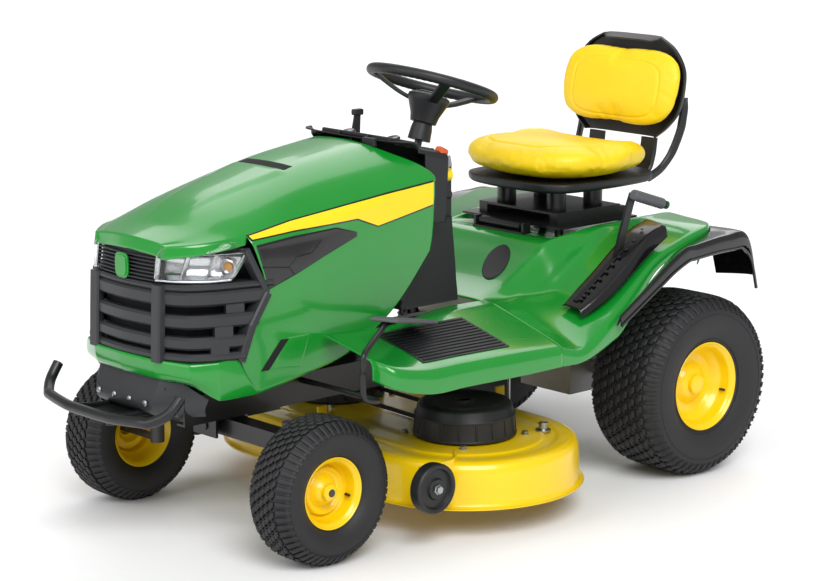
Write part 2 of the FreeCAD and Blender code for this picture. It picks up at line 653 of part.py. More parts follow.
def build_fenders():
    """The fender and footrest deck, black fender extensions, foot mats and lift-lever bezel."""
    wall = 4
    deck = sheet_loft([(x, full(half)) for x, half in fender_stations()], wall)
    steps = (
        (560, [(506, 388), (500, 440), (262, 508), (235, 509), (205, 509)]),
        (700, [(507, 388), (500, 446), (262, 508), (235, 509), (205, 509)]),
        (880, [(507, 391), (500, 450), (276, 505), (264, 507), (257, 507)]),
        (1000, [(507, 392), (500, 452), (276, 504), (266, 506), (258, 506)]),
        (1100, [(498, 416), (492, 470), (284, 510), (274, 512), (264, 513)]),
        (1140, [(446, 436), (440, 486), (290, 516), (280, 516), (274, 516)]),
    )
    step = sheet_loft(steps, wall)
    deck = deck.fuse(step).fuse(mirrored(step))
    slot = prism([(200, 374), (430, 374), (430, 398), (200, 398)], 430, 700)
    pedal_slot = prism([(1030, -312), (1090, -312), (1090, -288), (1030, -288)], 430, 600)
    neck_hole = Part.makeCylinder(30, 160, spot(100, -158, 538), spot(90, -196, 560) - spot(110, -120, 520))
    deck_cut = deck.cut(slot).cut(pedal_slot).cut(neck_hole).removeSplitter()
    node(shaped("fender_shape", deck_cut), "fender_deck")
    trim = sheet_loft([
        (-186, [(355, 500), (490, 516), (495, 478)]), (-145, [(358, 628), (495, 632), (501, 592)]),
        (-60, [(434, 636), (500, 640), (505, 600)]), (60, [(445, 612), (503, 632), (508, 594)]),
        (120, [(450, 586), (505, 625), (509, 588)]), (240, [(470, 520), (505, 555), (509, 520)]),
        (352, [(491, 455), (505, 488), (509, 456)]),
    ], 3)
    trim = trim.cut(deck)
    pair = [shaped("trim_left_shape", trim), shaped("trim_right_shape", mirrored(trim))]
    node(group("fender_trims_group", *pair), "fender_extensions")
    mats = []
    for k in (0, 1):
        mat = sheet_loft([(702, [(470, 455.8), (290, 502.8)]), (996, [(470, 460.8), (290, 502.8)])], -5)
        mats.append(shaped(f"mat_shape_{k}", mat if k == 0 else mirrored(mat)))
    node(group("mats_group", *mats), "foot_mats")
    bezel = sheet_loft([
        (100, [(432, 644), (424, 676), (352, 684), (344, 662)]), (164, [(432, 605), (424, 656), (352, 664),
                                                                  (344, 630)]),
        (230, [(438, 570), (428, 610), (354, 620), (346, 594)]), (300, [(440, 526), (430, 562), (354, 570),
                                                                  (346, 547)]),
        (364, [(436, 494), (428, 522), (356, 530), (348, 508)]), (420, [(426, 472), (420, 492), (364, 498),
                                                                  (358, 494)]),
    ], 3)
    node(shaped("bezel_shape", bezel.cut(prism([(200, 374), (412, 374), (412, 398), (200, 398)], 430, 700))),
         "lift_bezel")


def build_tower():
    """The hollow dash tower and the dash housing on top of it."""
    low = [(798, 172), (604, 172), (566, 96)]
    top = [(798, 152), (606, 150), (558, 84)]

    def solid(inset, z0, z1):
        wires = []
        for path, z in ((low, z0), (top, z1)):
            half = [(x - inset if x > 700 else x + inset, y - inset) for x, y in path]
            ring = [spot(x, y, z) for x, y in half + [(x, -y) for x, y in half[::-1]]]
            wires.append(Part.makePolygon(ring + ring[:1]))
        return Part.makeLoft(wires, True, True)

    tower = solid(0, 512.5, 726).cut(solid(4, 512, 727))
    node(shaped("tower_shape", tower), "dash_tower")
    housing = side_prism([(676, 727), (668, 903), (692, 909), (843, 943), (843, 727)], -205, 205)
    shroud = prism([(556, -84), (556, 84), (606, 150), (680, 150), (680, -150), (606, -150)], 727, 872)
    hollow = side_prism([(681, 726), (673, 899), (693, 904.5), (839, 938), (839, 726)], -201, 201)
    core = prism([(560, -82), (560, 82), (608, 146), (684, 146), (684, -146), (608, -146)], 726, 868)
    centre, way = column()
    shaft_hole = Part.makeCylinder(13, 120, centre + way * 130, way)
    dash = housing.fuse(shroud).cut(hollow).cut(core).cut(shaft_hole)
    corner = prism([(738, 222), (842, 136), (870, 136), (870, 300), (738, 300)], 700, 1000)
    dash = dash.cut(corner).cut(mirrored(corner))
    for y, z in ((172, 840), (-172, 850), (-172, 800), (172, 790)):
        dash = dash.cut(Part.makeCylinder(5.05, 30, spot(660, y, z), AXIS_X))
    slot = prism([(686, -111), (758, -111), (758, -99), (686, -99)], 890, 960)
    lever_pin = pin(5, spot(716, -118, 880), spot(716, -92, 880))
    posts = Part.makeBox(20, 4, 37, spot(706, -122, 873)).fuse(Part.makeBox(20, 4, 37, spot(706, -92, 873)))
    node(shaped("dash_shape", dash.cut(slot).fuse(lever_pin).fuse(posts).removeSplitter()), "dash_housing")


# ------------------------------------------------------------------ seat


def build_seat():
    """Hinge bracket, tilting seat plate, sliding frame, seat pan with uprights, cushions and back shell."""
    parts = [box("seat_bracket_foot", 34, 190, 5, rx(264), -95, 632.2)]
    for k, y in enumerate((-95, 87)):
        parts.append(box(f"seat_bracket_ear_{k}", 26, 8, 28, rx(268), y, 634))
    parts.append(rod("seat_pin", 6, 190, rx("seat_hinge_x"), -95, "seat_hinge_z", "y"))
    node(fuse("seat_bracket_fuse", *parts), "seat_bracket")
    plate = [box("seat_plate_sheet", 300, 370, 6, rx(-50), -185, 650),
             rod("seat_barrel", 11, 150, rx("seat_hinge_x"), -75, "seat_hinge_z", "y"),
             box("seat_barrel_web", 32, 150, 6, rx(248), -75, 650)]
    for k, y in enumerate((-150, 120)):
        plate.append(box(f"seat_rail_{k}", 260, 30, 24, rx(-40), y, 656))
    stops = ((-30, -150, 614.5), (-30, 150, 614.5), (215, -150, 625), (215, 150, 625))
    for k, (x, y, low) in enumerate(stops):
        plate.append(rod(f"seat_stop_{k}", 12, f"651 - {low}", rx(x), y, low))
    bore = rod("seat_barrel_bore", 6.05, 170, rx("seat_hinge_x"), -85, "seat_hinge_z", "y")
    node(cut("seat_plate_cut", fuse("seat_plate_blank", *plate), bore), "seat_plate")
    frame = [box("seat_frame_plate", 240, 300, 6, rx(-20), -150, 680.3)]
    for k, (x, y) in enumerate(((30, -95), (30, 95), (170, -95), (170, 95))):
        frame.append(rod(f"seat_spring_{k}", 26, 55, rx(x), y, 686))
    node(fuse("seat_frame_fuse", *frame), "seat_frame")
    outline = [(286, 150), (236, 206), (60, 222), (-110, 206), (-156, 140)]
    pan = prism(outline + [(x, -y) for x, y in outline[::-1]], 741, 770)
    for y in (-128, 68):
        upright = [(-140, 742), (-186, 742), (-200, 850), (-184, 852), (-172, 800), (-168, 769)]
        pan = pan.fuse(side_prism(upright, y, y + 60))
    outline = [(304, 120), (280, 190), (220, 232), (60, 238), (-110, 222), (-162, 150)]
    cushion = rounded(prism(outline + [(x, -y) for x, y in outline[::-1]], 771, 868), 26)
    node(shaped("seat_cushion_shape", cushion), "seat_cushion")
    pad = side_prism([(-133, 871), (-154, 975), (-187, 1096), (-226, 1098), (-206, 975), (-181, 871)],
                     -216, 216)
    corners = [spot(0, y, z) for y, z in ((-150, 850), (150, 850), (216, 930), (212, 1030), (150, 1100),
                                          (-150, 1100), (-212, 1030), (-216, 930))]
    window = Part.Face(Part.makePolygon(corners + corners[:1])).extrude(V(-400, 0, 0))
    node(shaped("back_cushion_shape", pad.common(window)), "back_cushion")
    shell = side_prism([(-180, 846), (-209, 975), (-230, 1101), (-192, 1104), (-192, 1118), (-244, 1123),
                        (-224, 975), (-194, 838)], -214, 214)
    corners = [spot(0, y, z) for y, z in ((-140, 838), (140, 838), (214, 926), (206, 1040), (120, 1123),
                                          (-120, 1123), (-206, 1040), (-214, 926))]
    window = Part.Face(Part.makePolygon(corners + corners[:1])).extrude(V(-400, 0, 0))
    node(shaped("seat_shell_shape", pan.fuse(shell.common(window)).removeSplitter()), "seat_shell")


# ------------------------------------------------------------------ mower deck


def deck_circles(radius):
    """The deck's two blade circles, with one radius."""
    return ((size("left_spindle_x"), size("left_spindle_y"), radius),
            (size("right_spindle_x"), size("right_spindle_y"), radius))


def build_deck():
    """The stamped deck shell with welded brackets, the spindle housings, covers, belt and lift links."""
    lip, top, radius, wall = (size(f"deck_{k}") for k in ("lip_z", "top_z", "radius", "wall"))
    shell = hull(deck_circles(radius), lip, top - lip)
    shell = shell.fuse(hull(deck_circles(radius + size("deck_lip")), lip, wall))
    shell = shell.cut(hull(deck_circles(radius - wall), lip - 5, top - lip + 5 - wall))
    right_x, right_y = size("right_spindle_x"), size("right_spindle_y")
    shell = shell.cut(prism([(right_x - 110, -700), (right_x + 110, -700), (right_x + 110, right_y - 180),
                             (right_x - 110, right_y - 180)], lip - 5, top - wall))
    gauge_x, gauge_z = size("gauge_wheel_x"), size("gauge_wheel_z")
    for sign, shift in ((1, 0), (-1, -30)):
        y = 461 if sign > 0 else -443
        plate = Part.makeBox(122, 5, 92, spot(890 + shift, y if sign > 0 else y - 5, 112))
        start = spot(gauge_x + shift, y + sign, gauge_z)
        shell = shell.fuse(plate).fuse(pin(8, start, start + V(0, 52 * sign, 0)))
    for x, y in ((420, 150), (420, -158), (900, -4)):
        shell = shell.fuse(Part.makeBox(30, 8, 62, spot(x, y, top - 2)))
    wash = pin(11, spot(515, 395, top - 1), spot(515, 395, top + 22))
    shell = shell.fuse(wash.cut(pin(6, spot(515, 395, top + 4), spot(515, 395, top + 24))))
    hinge_y = right_y - radius - 14
    for x in (right_x - 118, right_x + 106):
        shell = shell.fuse(Part.makeBox(12, 66, 20, spot(x, hinge_y - 6, top - 18)))
    shell = shell.fuse(pin(5, spot(right_x - 112, hinge_y, top - 6), spot(right_x + 112, hinge_y, top - 6)))
    holes = []
    for x, y, _ in deck_circles(0):
        holes.append(Part.makeCylinder(30.3, 40, spot(x, y, top - 20)))
    node(shaped("deck_shape", shell.cut(holes[0]).cut(holes[1]).removeSplitter()), "deck_shell")
    housings, covers = [], []
    for side in ("left", "right"):
        x, y = rx(f"{side}_spindle_x"), f"{side}_spindle_y"
        barrel = fuse(f"spindle_housing_{side}_blank", rod(f"spindle_barrel_{side}", 30, 86, x, y, 122),
                      rod(f"spindle_flange_{side}", 54, 8, x, y, "deck_top_z"))
        housings.append(cut(f"spindle_housing_{side}", barrel,
                            rod(f"spindle_bore_{side}", "spindle_radius + run_clearance", 110, x, y, 110)))
        cover = cone(f"cover_blank_{side}", 130, 121, 86, x, y, "deck_top_z + 3")
        hollow = cone(f"cover_hollow_{side}", 127, 118, 83, x, y, "deck_top_z + 2")
        run = rod(f"cover_cap_hole_{side}", 14, 20, x, y, "deck_top_z + 76")
        mouth = box(f"cover_mouth_{side}", 150, 200, 44, rx(f"{side}_spindle_x - 75"),
                    f"{side}_spindle_y - 200" if side == "left" else f"{side}_spindle_y", "deck_top_z + 2")
        covers.append(cut(f"cover_{side}", cover, hollow, run, mouth))
    node(group("spindle_covers_group", *covers), "spindle_covers")
    loop = hull(deck_circles(61.5), 218, 10).cut(hull(deck_circles(55), 217, 12))
    node(shaped("mower_belt_shape", loop), "mower_belt")
    links = [rod(f"link_bar_{k}", 4, 186, rx(436), y, "deck_top_z - 1") for k, y in enumerate((-190, 190))]
    tabs = [box(f"link_foot_{k}", 24, 24, 4, rx(424), y, "deck_top_z") for k, y in enumerate((-202, 178))]
    trims = [box(f"link_trim_box_{k}", 30, 30, 10, rx(420), y, "deck_top_z - 10")
             for k, y in enumerate((-205, 175))]
    trimmed = [cut(f"link_trim_{k}", links[k], trims[k]) for k in (0, 1)]
    rods = [fuse(f"lift_link_{k}", trimmed[k], tabs[k]) for k in (0, 1)]
    node(group("deck_fittings_group", *housings, *rods), "deck_fittings")


def build_blades():
    """Two blades with lifted trailing edges, and their spindle shafts with pulleys."""
    for side in ("left", "right"):
        x, y = rx(f"{side}_spindle_x"), f"{side}_spindle_y"
        parts = [rod(f"shaft_bar_{side}", "spindle_radius", 148, x, y, 96),
                 rod(f"shaft_head_{side}", 20, 6, x, y, 90), rod(f"shaft_collar_{side}", 24, 12, x, y, 107),
                 rod(f"shaft_groove_{side}", 54, 14, x, y, 216), rod(f"shaft_low_{side}", 60, 2, x, y, 214),
                 rod(f"shaft_top_{side}", 60, 2, x, y, 230)]
        shaft = fuse(f"spindle_shaft_{side}", *parts)
        bar = box(f"blade_bar_{side}", "blade_width", "blade_length", 5, f"{x} - blade_width / 2",
                  f"{y} - blade_length / 2", "blade_z")
        lifts = []
        for k, sign in enumerate((1, -1)):
            wing_y = f"{y} + blade_length / 2 - 100" if sign > 0 else f"{y} - blade_length / 2"
            wing_x = f"{x} + blade_width / 2 - 5" if sign > 0 else f"{x} - blade_width / 2"
            lifts.append(box(f"blade_lift_{side}_{k}", 5, 92, 18, wing_x, wing_y, "blade_z"))
        hole = rod(f"blade_hole_{side}", "spindle_radius", 20, x, y, "blade_z - 5")
        blade = cut(f"blade_{side}_cut", fuse(f"blade_{side}_blank", bar, *lifts), hole)
        node(group(f"blade_{side}_group", blade, shaft), f"blade_{side}")


def build_deck_wheels():
    """The two gauge wheels and the hinged discharge deflector."""
    for side, sign, shift in (("left", 1, 0), ("right", -1, -30)):
        low = 475 if sign > 0 else -457 - 34
        x, z = rx(f"gauge_wheel_x + ({shift})"), "gauge_wheel_z"
        drum = rod(f"gauge_drum_{side}", "gauge_wheel_radius", "gauge_wheel_width", x, low, z, "y")
        rounded_drum = doc.addObject("Part::Fillet", f"gauge_round_{side}")
        rounded_drum.Base = drum
        doc.recompute()
        edges = [k for k, e in enumerate(drum.Shape.Edges, 1) if isinstance(e.Curve, Part.Circle)]
        rounded_drum.Edges = [(k, 6, 6) for k in edges]
        bore = rod(f"gauge_bore_{side}", 8.05, 60, x, low - 10, z, "y")
        node(cut(f"gauge_wheel_{side}_cut", rounded_drum, bore), f"gauge_wheel_{side}")
    right_x, hinge_y = size("right_spindle_x"), size("right_spindle_y") - size("deck_radius") - 14
    hinge_z = size("deck_top_z") - 6
    path = [(hinge_y - 1, hinge_z + 5), (hinge_y - 12, hinge_z + 4), (hinge_y - 30, 150), (hinge_y - 34, 98)]
    plate = sheet_loft([(right_x - 100, path), (right_x + 100, path)], -3)
    barrel = pin(9, spot(right_x - 100, hinge_y, hinge_z), spot(right_x + 100, hinge_y, hinge_z))
    bore = pin(5.05, spot(right_x - 110, hinge_y, hinge_z), spot(right_x + 110, hinge_y, hinge_z))
    node(shaped("deflector_shape", plate.fuse(barrel).cut(bore)), "discharge_deflector")


# ------------------------------------------------------------------ controls


def build_lift():
    """The deck lift shaft with its arms and lever, the lever's grip and its release button."""
    shape = pin(9, spot(330, -186, 360), spot(330, 392, 360))
    blade = side_prism([(318, 350), (343, 352), (236, 664), (208, 742), (196, 770), (176, 762), (186, 736),
                        (212, 660)], 382, 390)
    shape = shape.fuse(blade)
    for y in (-182, 176):
        shape = shape.fuse(side_prism([(318, 350), (428, 352), (428, 368), (330, 372), (318, 370)], y, y + 6))
    node(shaped("lift_lever_shape", shape), "lift_lever")
    start, way = spot(206, 405, 768), V(-114, 0, -37).normalize()
    grip = rounded(pin(15, start, start + way * 120), 5)
    bore = pin(7.05, start + way * 78, start + way * 130)
    node(shaped("lift_grip_shape", grip.cut(bore)), "lift_grip")
    stem, head = pin(7, start + way * 88, start + way * 128), pin(11, start + way * 126.5, start + way * 136)
    node(shaped("lift_button_shape", stem.fuse(head)), "lift_button")


def pad_plate(centre, length, width, lean, turn):
    """A pedal's pad: a plate that leans back and turns in plan."""
    plate = Part.makeBox(length, width, 10, V(-length / 2, -width / 2, 0))
    plate = rounded(plate, 3)
    plate.rotate(V(0, 0, 0), AXIS_Y, lean)
    plate.rotate(V(0, 0, 0), AXIS_Z, turn)
    plate.translate(centre)
    return plate


def build_pedals():
    """The sprung brake pedal on the left, and the forward and reverse pedals on the right."""
    arm = tube([spot(1120, 136, 386), spot(1120, 457, 386), spot(1174, 457, 400), spot(1174, 457, 505),
                spot(1052, 400, 558)], 8, 20)
    pad = pad_plate(spot(958, 362, 540), 232, 74, -12, 22)
    node(shaped("brake_pedal_shape", arm.fuse(pad)), "brake_pedal")
    arm = tube([spot(1120, -136, 386), spot(1120, -457, 386), spot(1174, -457, 400), spot(1174, -457, 505),
                spot(1084, -420, 556)], 8, 20)
    pad = pad_plate(spot(1050, -404, 548), 110, 66, -14, -22)
    node(shaped("forward_pedal_shape", arm.fuse(pad)), "forward_pedal")
    arm = tube([spot(1040, -136, 386), spot(1040, -300, 386), spot(1046, -300, 558)], 7, 20)
    pad = pad_plate(spot(1020, -300, 546), 90, 60, -12, 0)
    node(shaped("reverse_pedal_shape", arm.fuse(pad)), "reverse_pedal")


def build_controls():
    """Throttle lever, ignition key, and the pull knobs on the dash."""
    lever = side_prism([(706, 870), (726, 870), (724, 900), (708, 972), (690, 978), (694, 900)], -108, -102)
    lever = lever.cut(Part.makeCylinder(5.05, 20, spot(716, -115, 880), AXIS_Y))
    tip = rounded(Part.makeBox(30, 18, 16, spot(684, -114, 968)), 4)
    node(shaped("throttle_shape", lever.fuse(tip)), "throttle_lever")
    knobs = (("pto_knob", 172, 840, 17), ("choke_knob", -172, 800, 14), ("park_brake_knob", 172, 790, 14))
    for name, y, z, radius in knobs:
        stem = rod(f"{name}_stem", 5, 40, rx(652), y, z, "x")
        head = cone(f"{name}_head", radius, radius - 3, 16, rx(637), y, z, "x")
        node(fuse(f"{name}_fuse", stem, head), name)
    key = fuse("key_blank", rod("key_barrel", 5, 34, rx(658), -172, 850, "x"),
               rod("key_face", 9, 4, rx(655), -172, 850, "x"),
               box("key_bow", 18, 5, 22, rx(638), -174.5, 839))
    node(key, "ignition_key")


BUILDERS = (build_frame, build_front_end, build_engine, build_drive, build_wheels, build_steering, build_hood,
            build_fenders, build_tower, build_seat, build_deck, build_blades, build_deck_wheels, build_lift,
            build_pedals, build_controls)


def main():
    """Builds every sub-part, checks it, and writes one file for each."""
    for builder in BUILDERS:
        builder()
    doc.recompute()
    faults = [obj.Name for obj in doc.Objects if "Invalid" in obj.State or "Error" in obj.State]
    faults += [obj.Label for obj in nodes
               if obj.Shape.isNull() or not obj.Shape.isValid() or not obj.Shape.Solids]
    if faults:
        raise SystemExit(f"failed objects: {faults}")
    os.makedirs("parts", exist_ok=True)
    for obj in nodes:
        obj.Shape.exportStep(f"parts/{obj.Label}.step")
    print(len(nodes), "nodes")


main()
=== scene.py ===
"""Looks of a lawn tractor: painted shells, moulded trim, tyres, upholstery and studio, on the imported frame."""

import logging
import math
from collections.abc import Callable, Sequence
from dataclasses import dataclass
from enum import Enum

import bmesh
import bpy
from mathutils import Matrix, Vector
from mathutils.bvhtree import BVHTree


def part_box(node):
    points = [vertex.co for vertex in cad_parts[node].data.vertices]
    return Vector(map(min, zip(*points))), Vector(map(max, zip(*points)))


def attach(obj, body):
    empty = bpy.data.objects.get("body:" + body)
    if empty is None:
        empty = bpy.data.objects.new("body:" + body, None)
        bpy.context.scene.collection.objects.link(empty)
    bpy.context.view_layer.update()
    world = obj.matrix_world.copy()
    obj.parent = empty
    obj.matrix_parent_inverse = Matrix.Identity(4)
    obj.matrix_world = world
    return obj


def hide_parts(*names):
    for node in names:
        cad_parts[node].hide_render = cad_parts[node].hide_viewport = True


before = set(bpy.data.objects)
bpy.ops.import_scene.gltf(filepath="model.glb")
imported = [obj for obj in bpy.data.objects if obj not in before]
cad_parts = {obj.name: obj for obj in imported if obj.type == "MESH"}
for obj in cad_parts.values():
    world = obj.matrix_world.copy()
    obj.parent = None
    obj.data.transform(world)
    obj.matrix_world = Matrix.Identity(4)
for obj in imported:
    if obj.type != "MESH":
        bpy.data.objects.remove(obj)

LOG = logging.getLogger("lawn_tractor")
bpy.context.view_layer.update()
Point = tuple[float, float, float]
Path = Sequence[Point]


def node_centre(node: str) -> Vector:
    """The middle of a CAD node's box, in metres."""
    low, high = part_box(node)
    return (Vector(low) + Vector(high)) / 2


REAR_AXLE = node_centre("rear_tyre_left")


def place(x: float, y: float, z: float) -> Vector:
    """A point in metres from millimetres forward of the rear axle, left of the middle and above the ground.

    Args:
        x: Distance forward of the rear axle.
        y: Distance to the left.
        z: Height.

    Returns:
        The point in the frame.
    """
    return Vector((REAR_AXLE.x + x / 1000, y / 1000, z / 1000))


# ---------------------------------------------------------------- finishes


def linear(hex_colour: str) -> tuple[float, float, float, float]:
    """Turns an sRGB hex colour to linear.

    Args:
        hex_colour: Six hex digits.

    Returns:
        Linear red, green, blue and an alpha of 1.
    """
    channels = [int(hex_colour[k:k + 2], 16) / 255 for k in (0, 2, 4)]
    spread = [c / 12.92 if c <= 0.04045 else ((c + 0.055) / 1.055) ** 2.4 for c in channels]
    return (*spread, 1.0)


def add_node(tree: bpy.types.NodeTree, kind: str, inputs: dict | None = None, **settings: object) -> bpy.types.Node:
    """Adds a node with its settings, values and links.

    Args:
        tree: The material's node tree.
        kind: The node's type name.
        inputs: Input names or numbers, each with a value or with the socket that feeds it.
        settings: The node's own properties.

    Returns:
        The new node.
    """
    node = tree.nodes.new(kind)
    for name, value in settings.items():
        setattr(node, name, value)
    for key, value in (inputs or {}).items():
        if isinstance(value, bpy.types.NodeSocket):
            tree.links.new(value, node.inputs[key])
        else:
            node.inputs[key].default_value = value
    return node


class Grain(Enum):
    """The small-scale texture that a surface shows."""

    ORANGE_PEEL = "orange peel"
    MOULD_STIPPLE = "mould stipple"
    LEATHER = "leather"
    CAST = "cast"
    BRUSHED = "brushed"


@dataclass(frozen=True)
class Finish:
    """A surface finish: its colours, its gloss and its grain."""

    name: str
    colour: str
    shade: str
    roughness: float
    grain: Grain
    grain_mm: float
    relief_mm: float
    metallic: float = 0.0
    coat: float = 0.0
    ior: float = 1.5
    mottle_mm: float = 180.0
    dust: float = 0.0

    def build(self) -> bpy.types.Material:
        """Makes the material, or gives the one already made.

        Returns:
            A procedural material on Object coordinates.
        """
        found = bpy.data.materials.get(self.name)
        if found:
            return found
        material = bpy.data.materials.new(self.name)
        material.use_nodes = True
        tree = material.node_tree
        tree.nodes.clear()
        where = add_node(tree, "ShaderNodeTexCoord").outputs["Object"]
        mottle = add_node(tree, "ShaderNodeTexNoise", {"Vector": where, "Scale": 1000 / self.mottle_mm,
                                                       "Detail": 3.0}).outputs["Fac"]
        tone = add_node(tree, "ShaderNodeMix", {0: mottle, 6: linear(self.colour), 7: linear(self.shade)},
                        data_type="RGBA").outputs[2]
        gloss = add_node(tree, "ShaderNodeMapRange", {"Value": mottle, "To Min": max(self.roughness - 0.06, 0.02),
                                                      "To Max": self.roughness + 0.08}).outputs["Result"]
        bump = add_node(tree, "ShaderNodeBump", {"Height": self.relief(tree, where), "Strength": 0.6,
                                                 "Distance": self.relief_mm / 1000}).outputs["Normal"]
        shader = add_node(tree, "ShaderNodeBsdfPrincipled", {
            "Base Color": tone, "Roughness": gloss, "Normal": bump, "Metallic": self.metallic, "IOR": self.ior,
            "Coat Weight": self.coat, "Coat Roughness": 0.06})
        add_node(tree, "ShaderNodeOutputMaterial", {"Surface": shader.outputs["BSDF"]})
        return material

    def relief(self, tree: bpy.types.NodeTree, where: bpy.types.NodeSocket) -> bpy.types.NodeSocket:
        """Adds the grain's height pattern.

        Args:
            tree: The material's node tree.
            where: The Object coordinates.

        Returns:
            The socket that carries the height.
        """
        scale = 1000 / self.grain_mm
        if self.grain is Grain.LEATHER:
            return add_node(tree, "ShaderNodeTexVoronoi", {"Vector": where, "Scale": scale},
                            feature="DISTANCE_TO_EDGE").outputs["Distance"]
        if self.grain is Grain.BRUSHED:
            where = add_node(tree, "ShaderNodeMapping", {"Vector": where, "Scale": (0.05, 1, 1)}).outputs["Vector"]
        detail = {Grain.MOULD_STIPPLE: 4.0, Grain.CAST: 8.0}.get(self.grain, 1.0)
        return add_node(tree, "ShaderNodeTexNoise", {"Vector": where, "Scale": scale,
                                                     "Detail": detail}).outputs["Fac"]


@dataclass(frozen=True)
class ClearLens(Finish):
    """Clear moulded polycarbonate: smooth, see-through and sharply reflective."""

    def build(self) -> bpy.types.Material:
        """Makes the lens material, or gives the one already made.

        Returns:
            A procedural glass-like material.
        """
        found = bpy.data.materials.get(self.name)
        if found:
            return found
        material = super().build()
        tree = material.node_tree
        shader = next(n for n in tree.nodes if n.type == "BSDF_PRINCIPLED")
        shader.inputs["Transmission Weight"].default_value = 1.0
        shader.inputs["Alpha"].default_value = 0.35
        return material


# Moulded-in colour under a polished mould face: a deep, even green with long soft reflections.
GREEN = Finish("moulded_green_gloss_abs", "0E8226", "108A2A", 0.22, Grain.ORANGE_PEEL, 14, 0.05, coat=0.55)
# Powder coat over pressed steel: slightly peeled gloss.
YELLOW_PAINT = Finish("powder_coated_yellow_steel", "F4CC06", "EFC604", 0.3, Grain.ORANGE_PEEL, 6, 0.06, coat=0.3)
# Printed film on the hood: even colour with hardly any peel.
YELLOW_FILM = Finish("printed_yellow_vinyl_film", "F8D51E", "F6D014", 0.35, Grain.ORANGE_PEEL, 8, 0.02)
# Embossed vinyl over foam: a fine leather grain that breaks the highlight.
VINYL = Finish("embossed_yellow_vinyl", "F3CF0C", "EDC908", 0.42, Grain.LEATHER, 3.2, 0.18, mottle_mm=90)
# Spark-eroded mould texture: dull black with a fine stipple.
BLACK_TRIM = Finish("stippled_black_polypropylene", "131416", "1A1B1E", 0.46, Grain.MOULD_STIPPLE, 1.6, 0.08)
# Polished mould face in black: narrow bright highlights.
BLACK_GLOSS = Finish("polished_black_abs", "08080A", "0D0D10", 0.2, Grain.ORANGE_PEEL, 10, 0.03, coat=0.4)
# Glass-filled nylon: a softer, slightly lighter black than the trim.
CHARCOAL = Finish("moulded_charcoal_nylon", "232427", "2B2C2F", 0.42, Grain.MOULD_STIPPLE, 1.8, 0.06)
# Cured tyre rubber: matt and a little patchy.
RUBBER = Finish("cured_black_tyre_rubber", "18181A", "222225", 0.62, Grain.MOULD_STIPPLE, 2.4, 0.12)
# Pedal rubber: worn to a grey bloom.
SOFT_RUBBER = Finish("ribbed_grey_rubber", "4A4B4F", "56575B", 0.6, Grain.MOULD_STIPPLE, 1.6, 0.08)
# Satin chassis paint on bent steel.
FRAME_PAINT = Finish("satin_black_frame_paint", "0C0C0D", "131315", 0.38, Grain.ORANGE_PEEL, 5, 0.05, coat=0.1)
# Raw castings: rough, with broken highlights.
CAST_IRON = Finish("sand_cast_iron", "5A5A58", "474745", 0.6, Grain.CAST, 2.2, 0.3, metallic=0.6)
CAST_ALLOY = Finish("die_cast_aluminium", "A6A8AA", "8E9093", 0.42, Grain.CAST, 1.8, 0.15, metallic=0.9)
# Plated metals: brushed fasteners, and the mirror behind the lamps.
BRIGHT_STEEL = Finish("zinc_plated_steel", "B9BBBE", "9FA2A6", 0.3, Grain.BRUSHED, 0.8, 0.05, metallic=1.0)
SILVER = Finish("vacuum_plated_reflector", "DADCDE", "C8CACC", 0.12, Grain.ORANGE_PEEL, 18, 0.1, metallic=1.0)
# Small moulded parts in their own colours.
AMBER = Finish("amber_marker_lens", "C58A12", "B67A0A", 0.2, Grain.ORANGE_PEEL, 4, 0.1, coat=0.5)
TANK = Finish("blow_moulded_polyethylene", "D8D6CB", "CFCCBF", 0.5, Grain.MOULD_STIPPLE, 4, 0.1)
ORANGE = Finish("moulded_orange_lever", "D8560F", "CC4E0C", 0.35, Grain.ORANGE_PEEL, 6, 0.05)
DARK_GREEN = Finish("dark_green_button", "1D4A2A", "1A4427", 0.4, Grain.MOULD_STIPPLE, 1.5, 0.05)
# The unlit depth behind openings, the floor, and the clear lamp lens.
DARK_HOLE = Finish("unlit_recess_black", "050506", "070708", 0.8, Grain.MOULD_STIPPLE, 3, 0.05)
PAPER = Finish("matt_white_paper", "FAFAFA", "F8F8F8", 0.9, Grain.MOULD_STIPPLE, 5, 0.02)
LENS = ClearLens("clear_polycarbonate_lens", "F4F6F8", "F0F2F4", 0.05, Grain.ORANGE_PEEL, 30, 0.02, ior=1.58)


# ---------------------------------------------------------------- mesh tools


def spline(points: Sequence[Vector], t: float) -> Vector:
    """A point on the smooth curve through some points.

    Args:
        points: The points it passes through.
        t: How far along, from 0 to 1.

    Returns:
        The point.
    """
    spans = len(points) - 1
    k = min(int(t * spans), spans - 1)
    s = t * spans - k
    before, a = points[max(k - 1, 0)], points[k]
    b, after = points[k + 1], points[min(k + 2, spans)]
    bend = 2 * a + (b - before) * s
    return 0.5 * (bend + (2 * before - 5 * a + 4 * b - after) * s ** 2 + (3 * a - before - 3 * b + after) * s ** 3)


def eased(path: Path, ease: float) -> list[Vector]:
    """A path with each inner corner cut by two points, so that a smooth curve turns tightly there.

    Args:
        path: Points in millimetres.
        ease: The share of each run given to the corner.

    Returns:
        The points in metres.
    """
    spots = [place(*p) for p in path]
    out = [spots[0]]
    for before, here, after in zip(spots, spots[1:], spots[2:]):
        out += [here.lerp(before, ease), here.lerp(after, ease)]
    return out + [spots[-1]]


def whole(half: Path) -> list[Point]:
    """A path across the machine from its left half, which ends on the middle line."""
    return list(half) + [(x, -y, z) for x, y, z in reversed(half[:-1])]


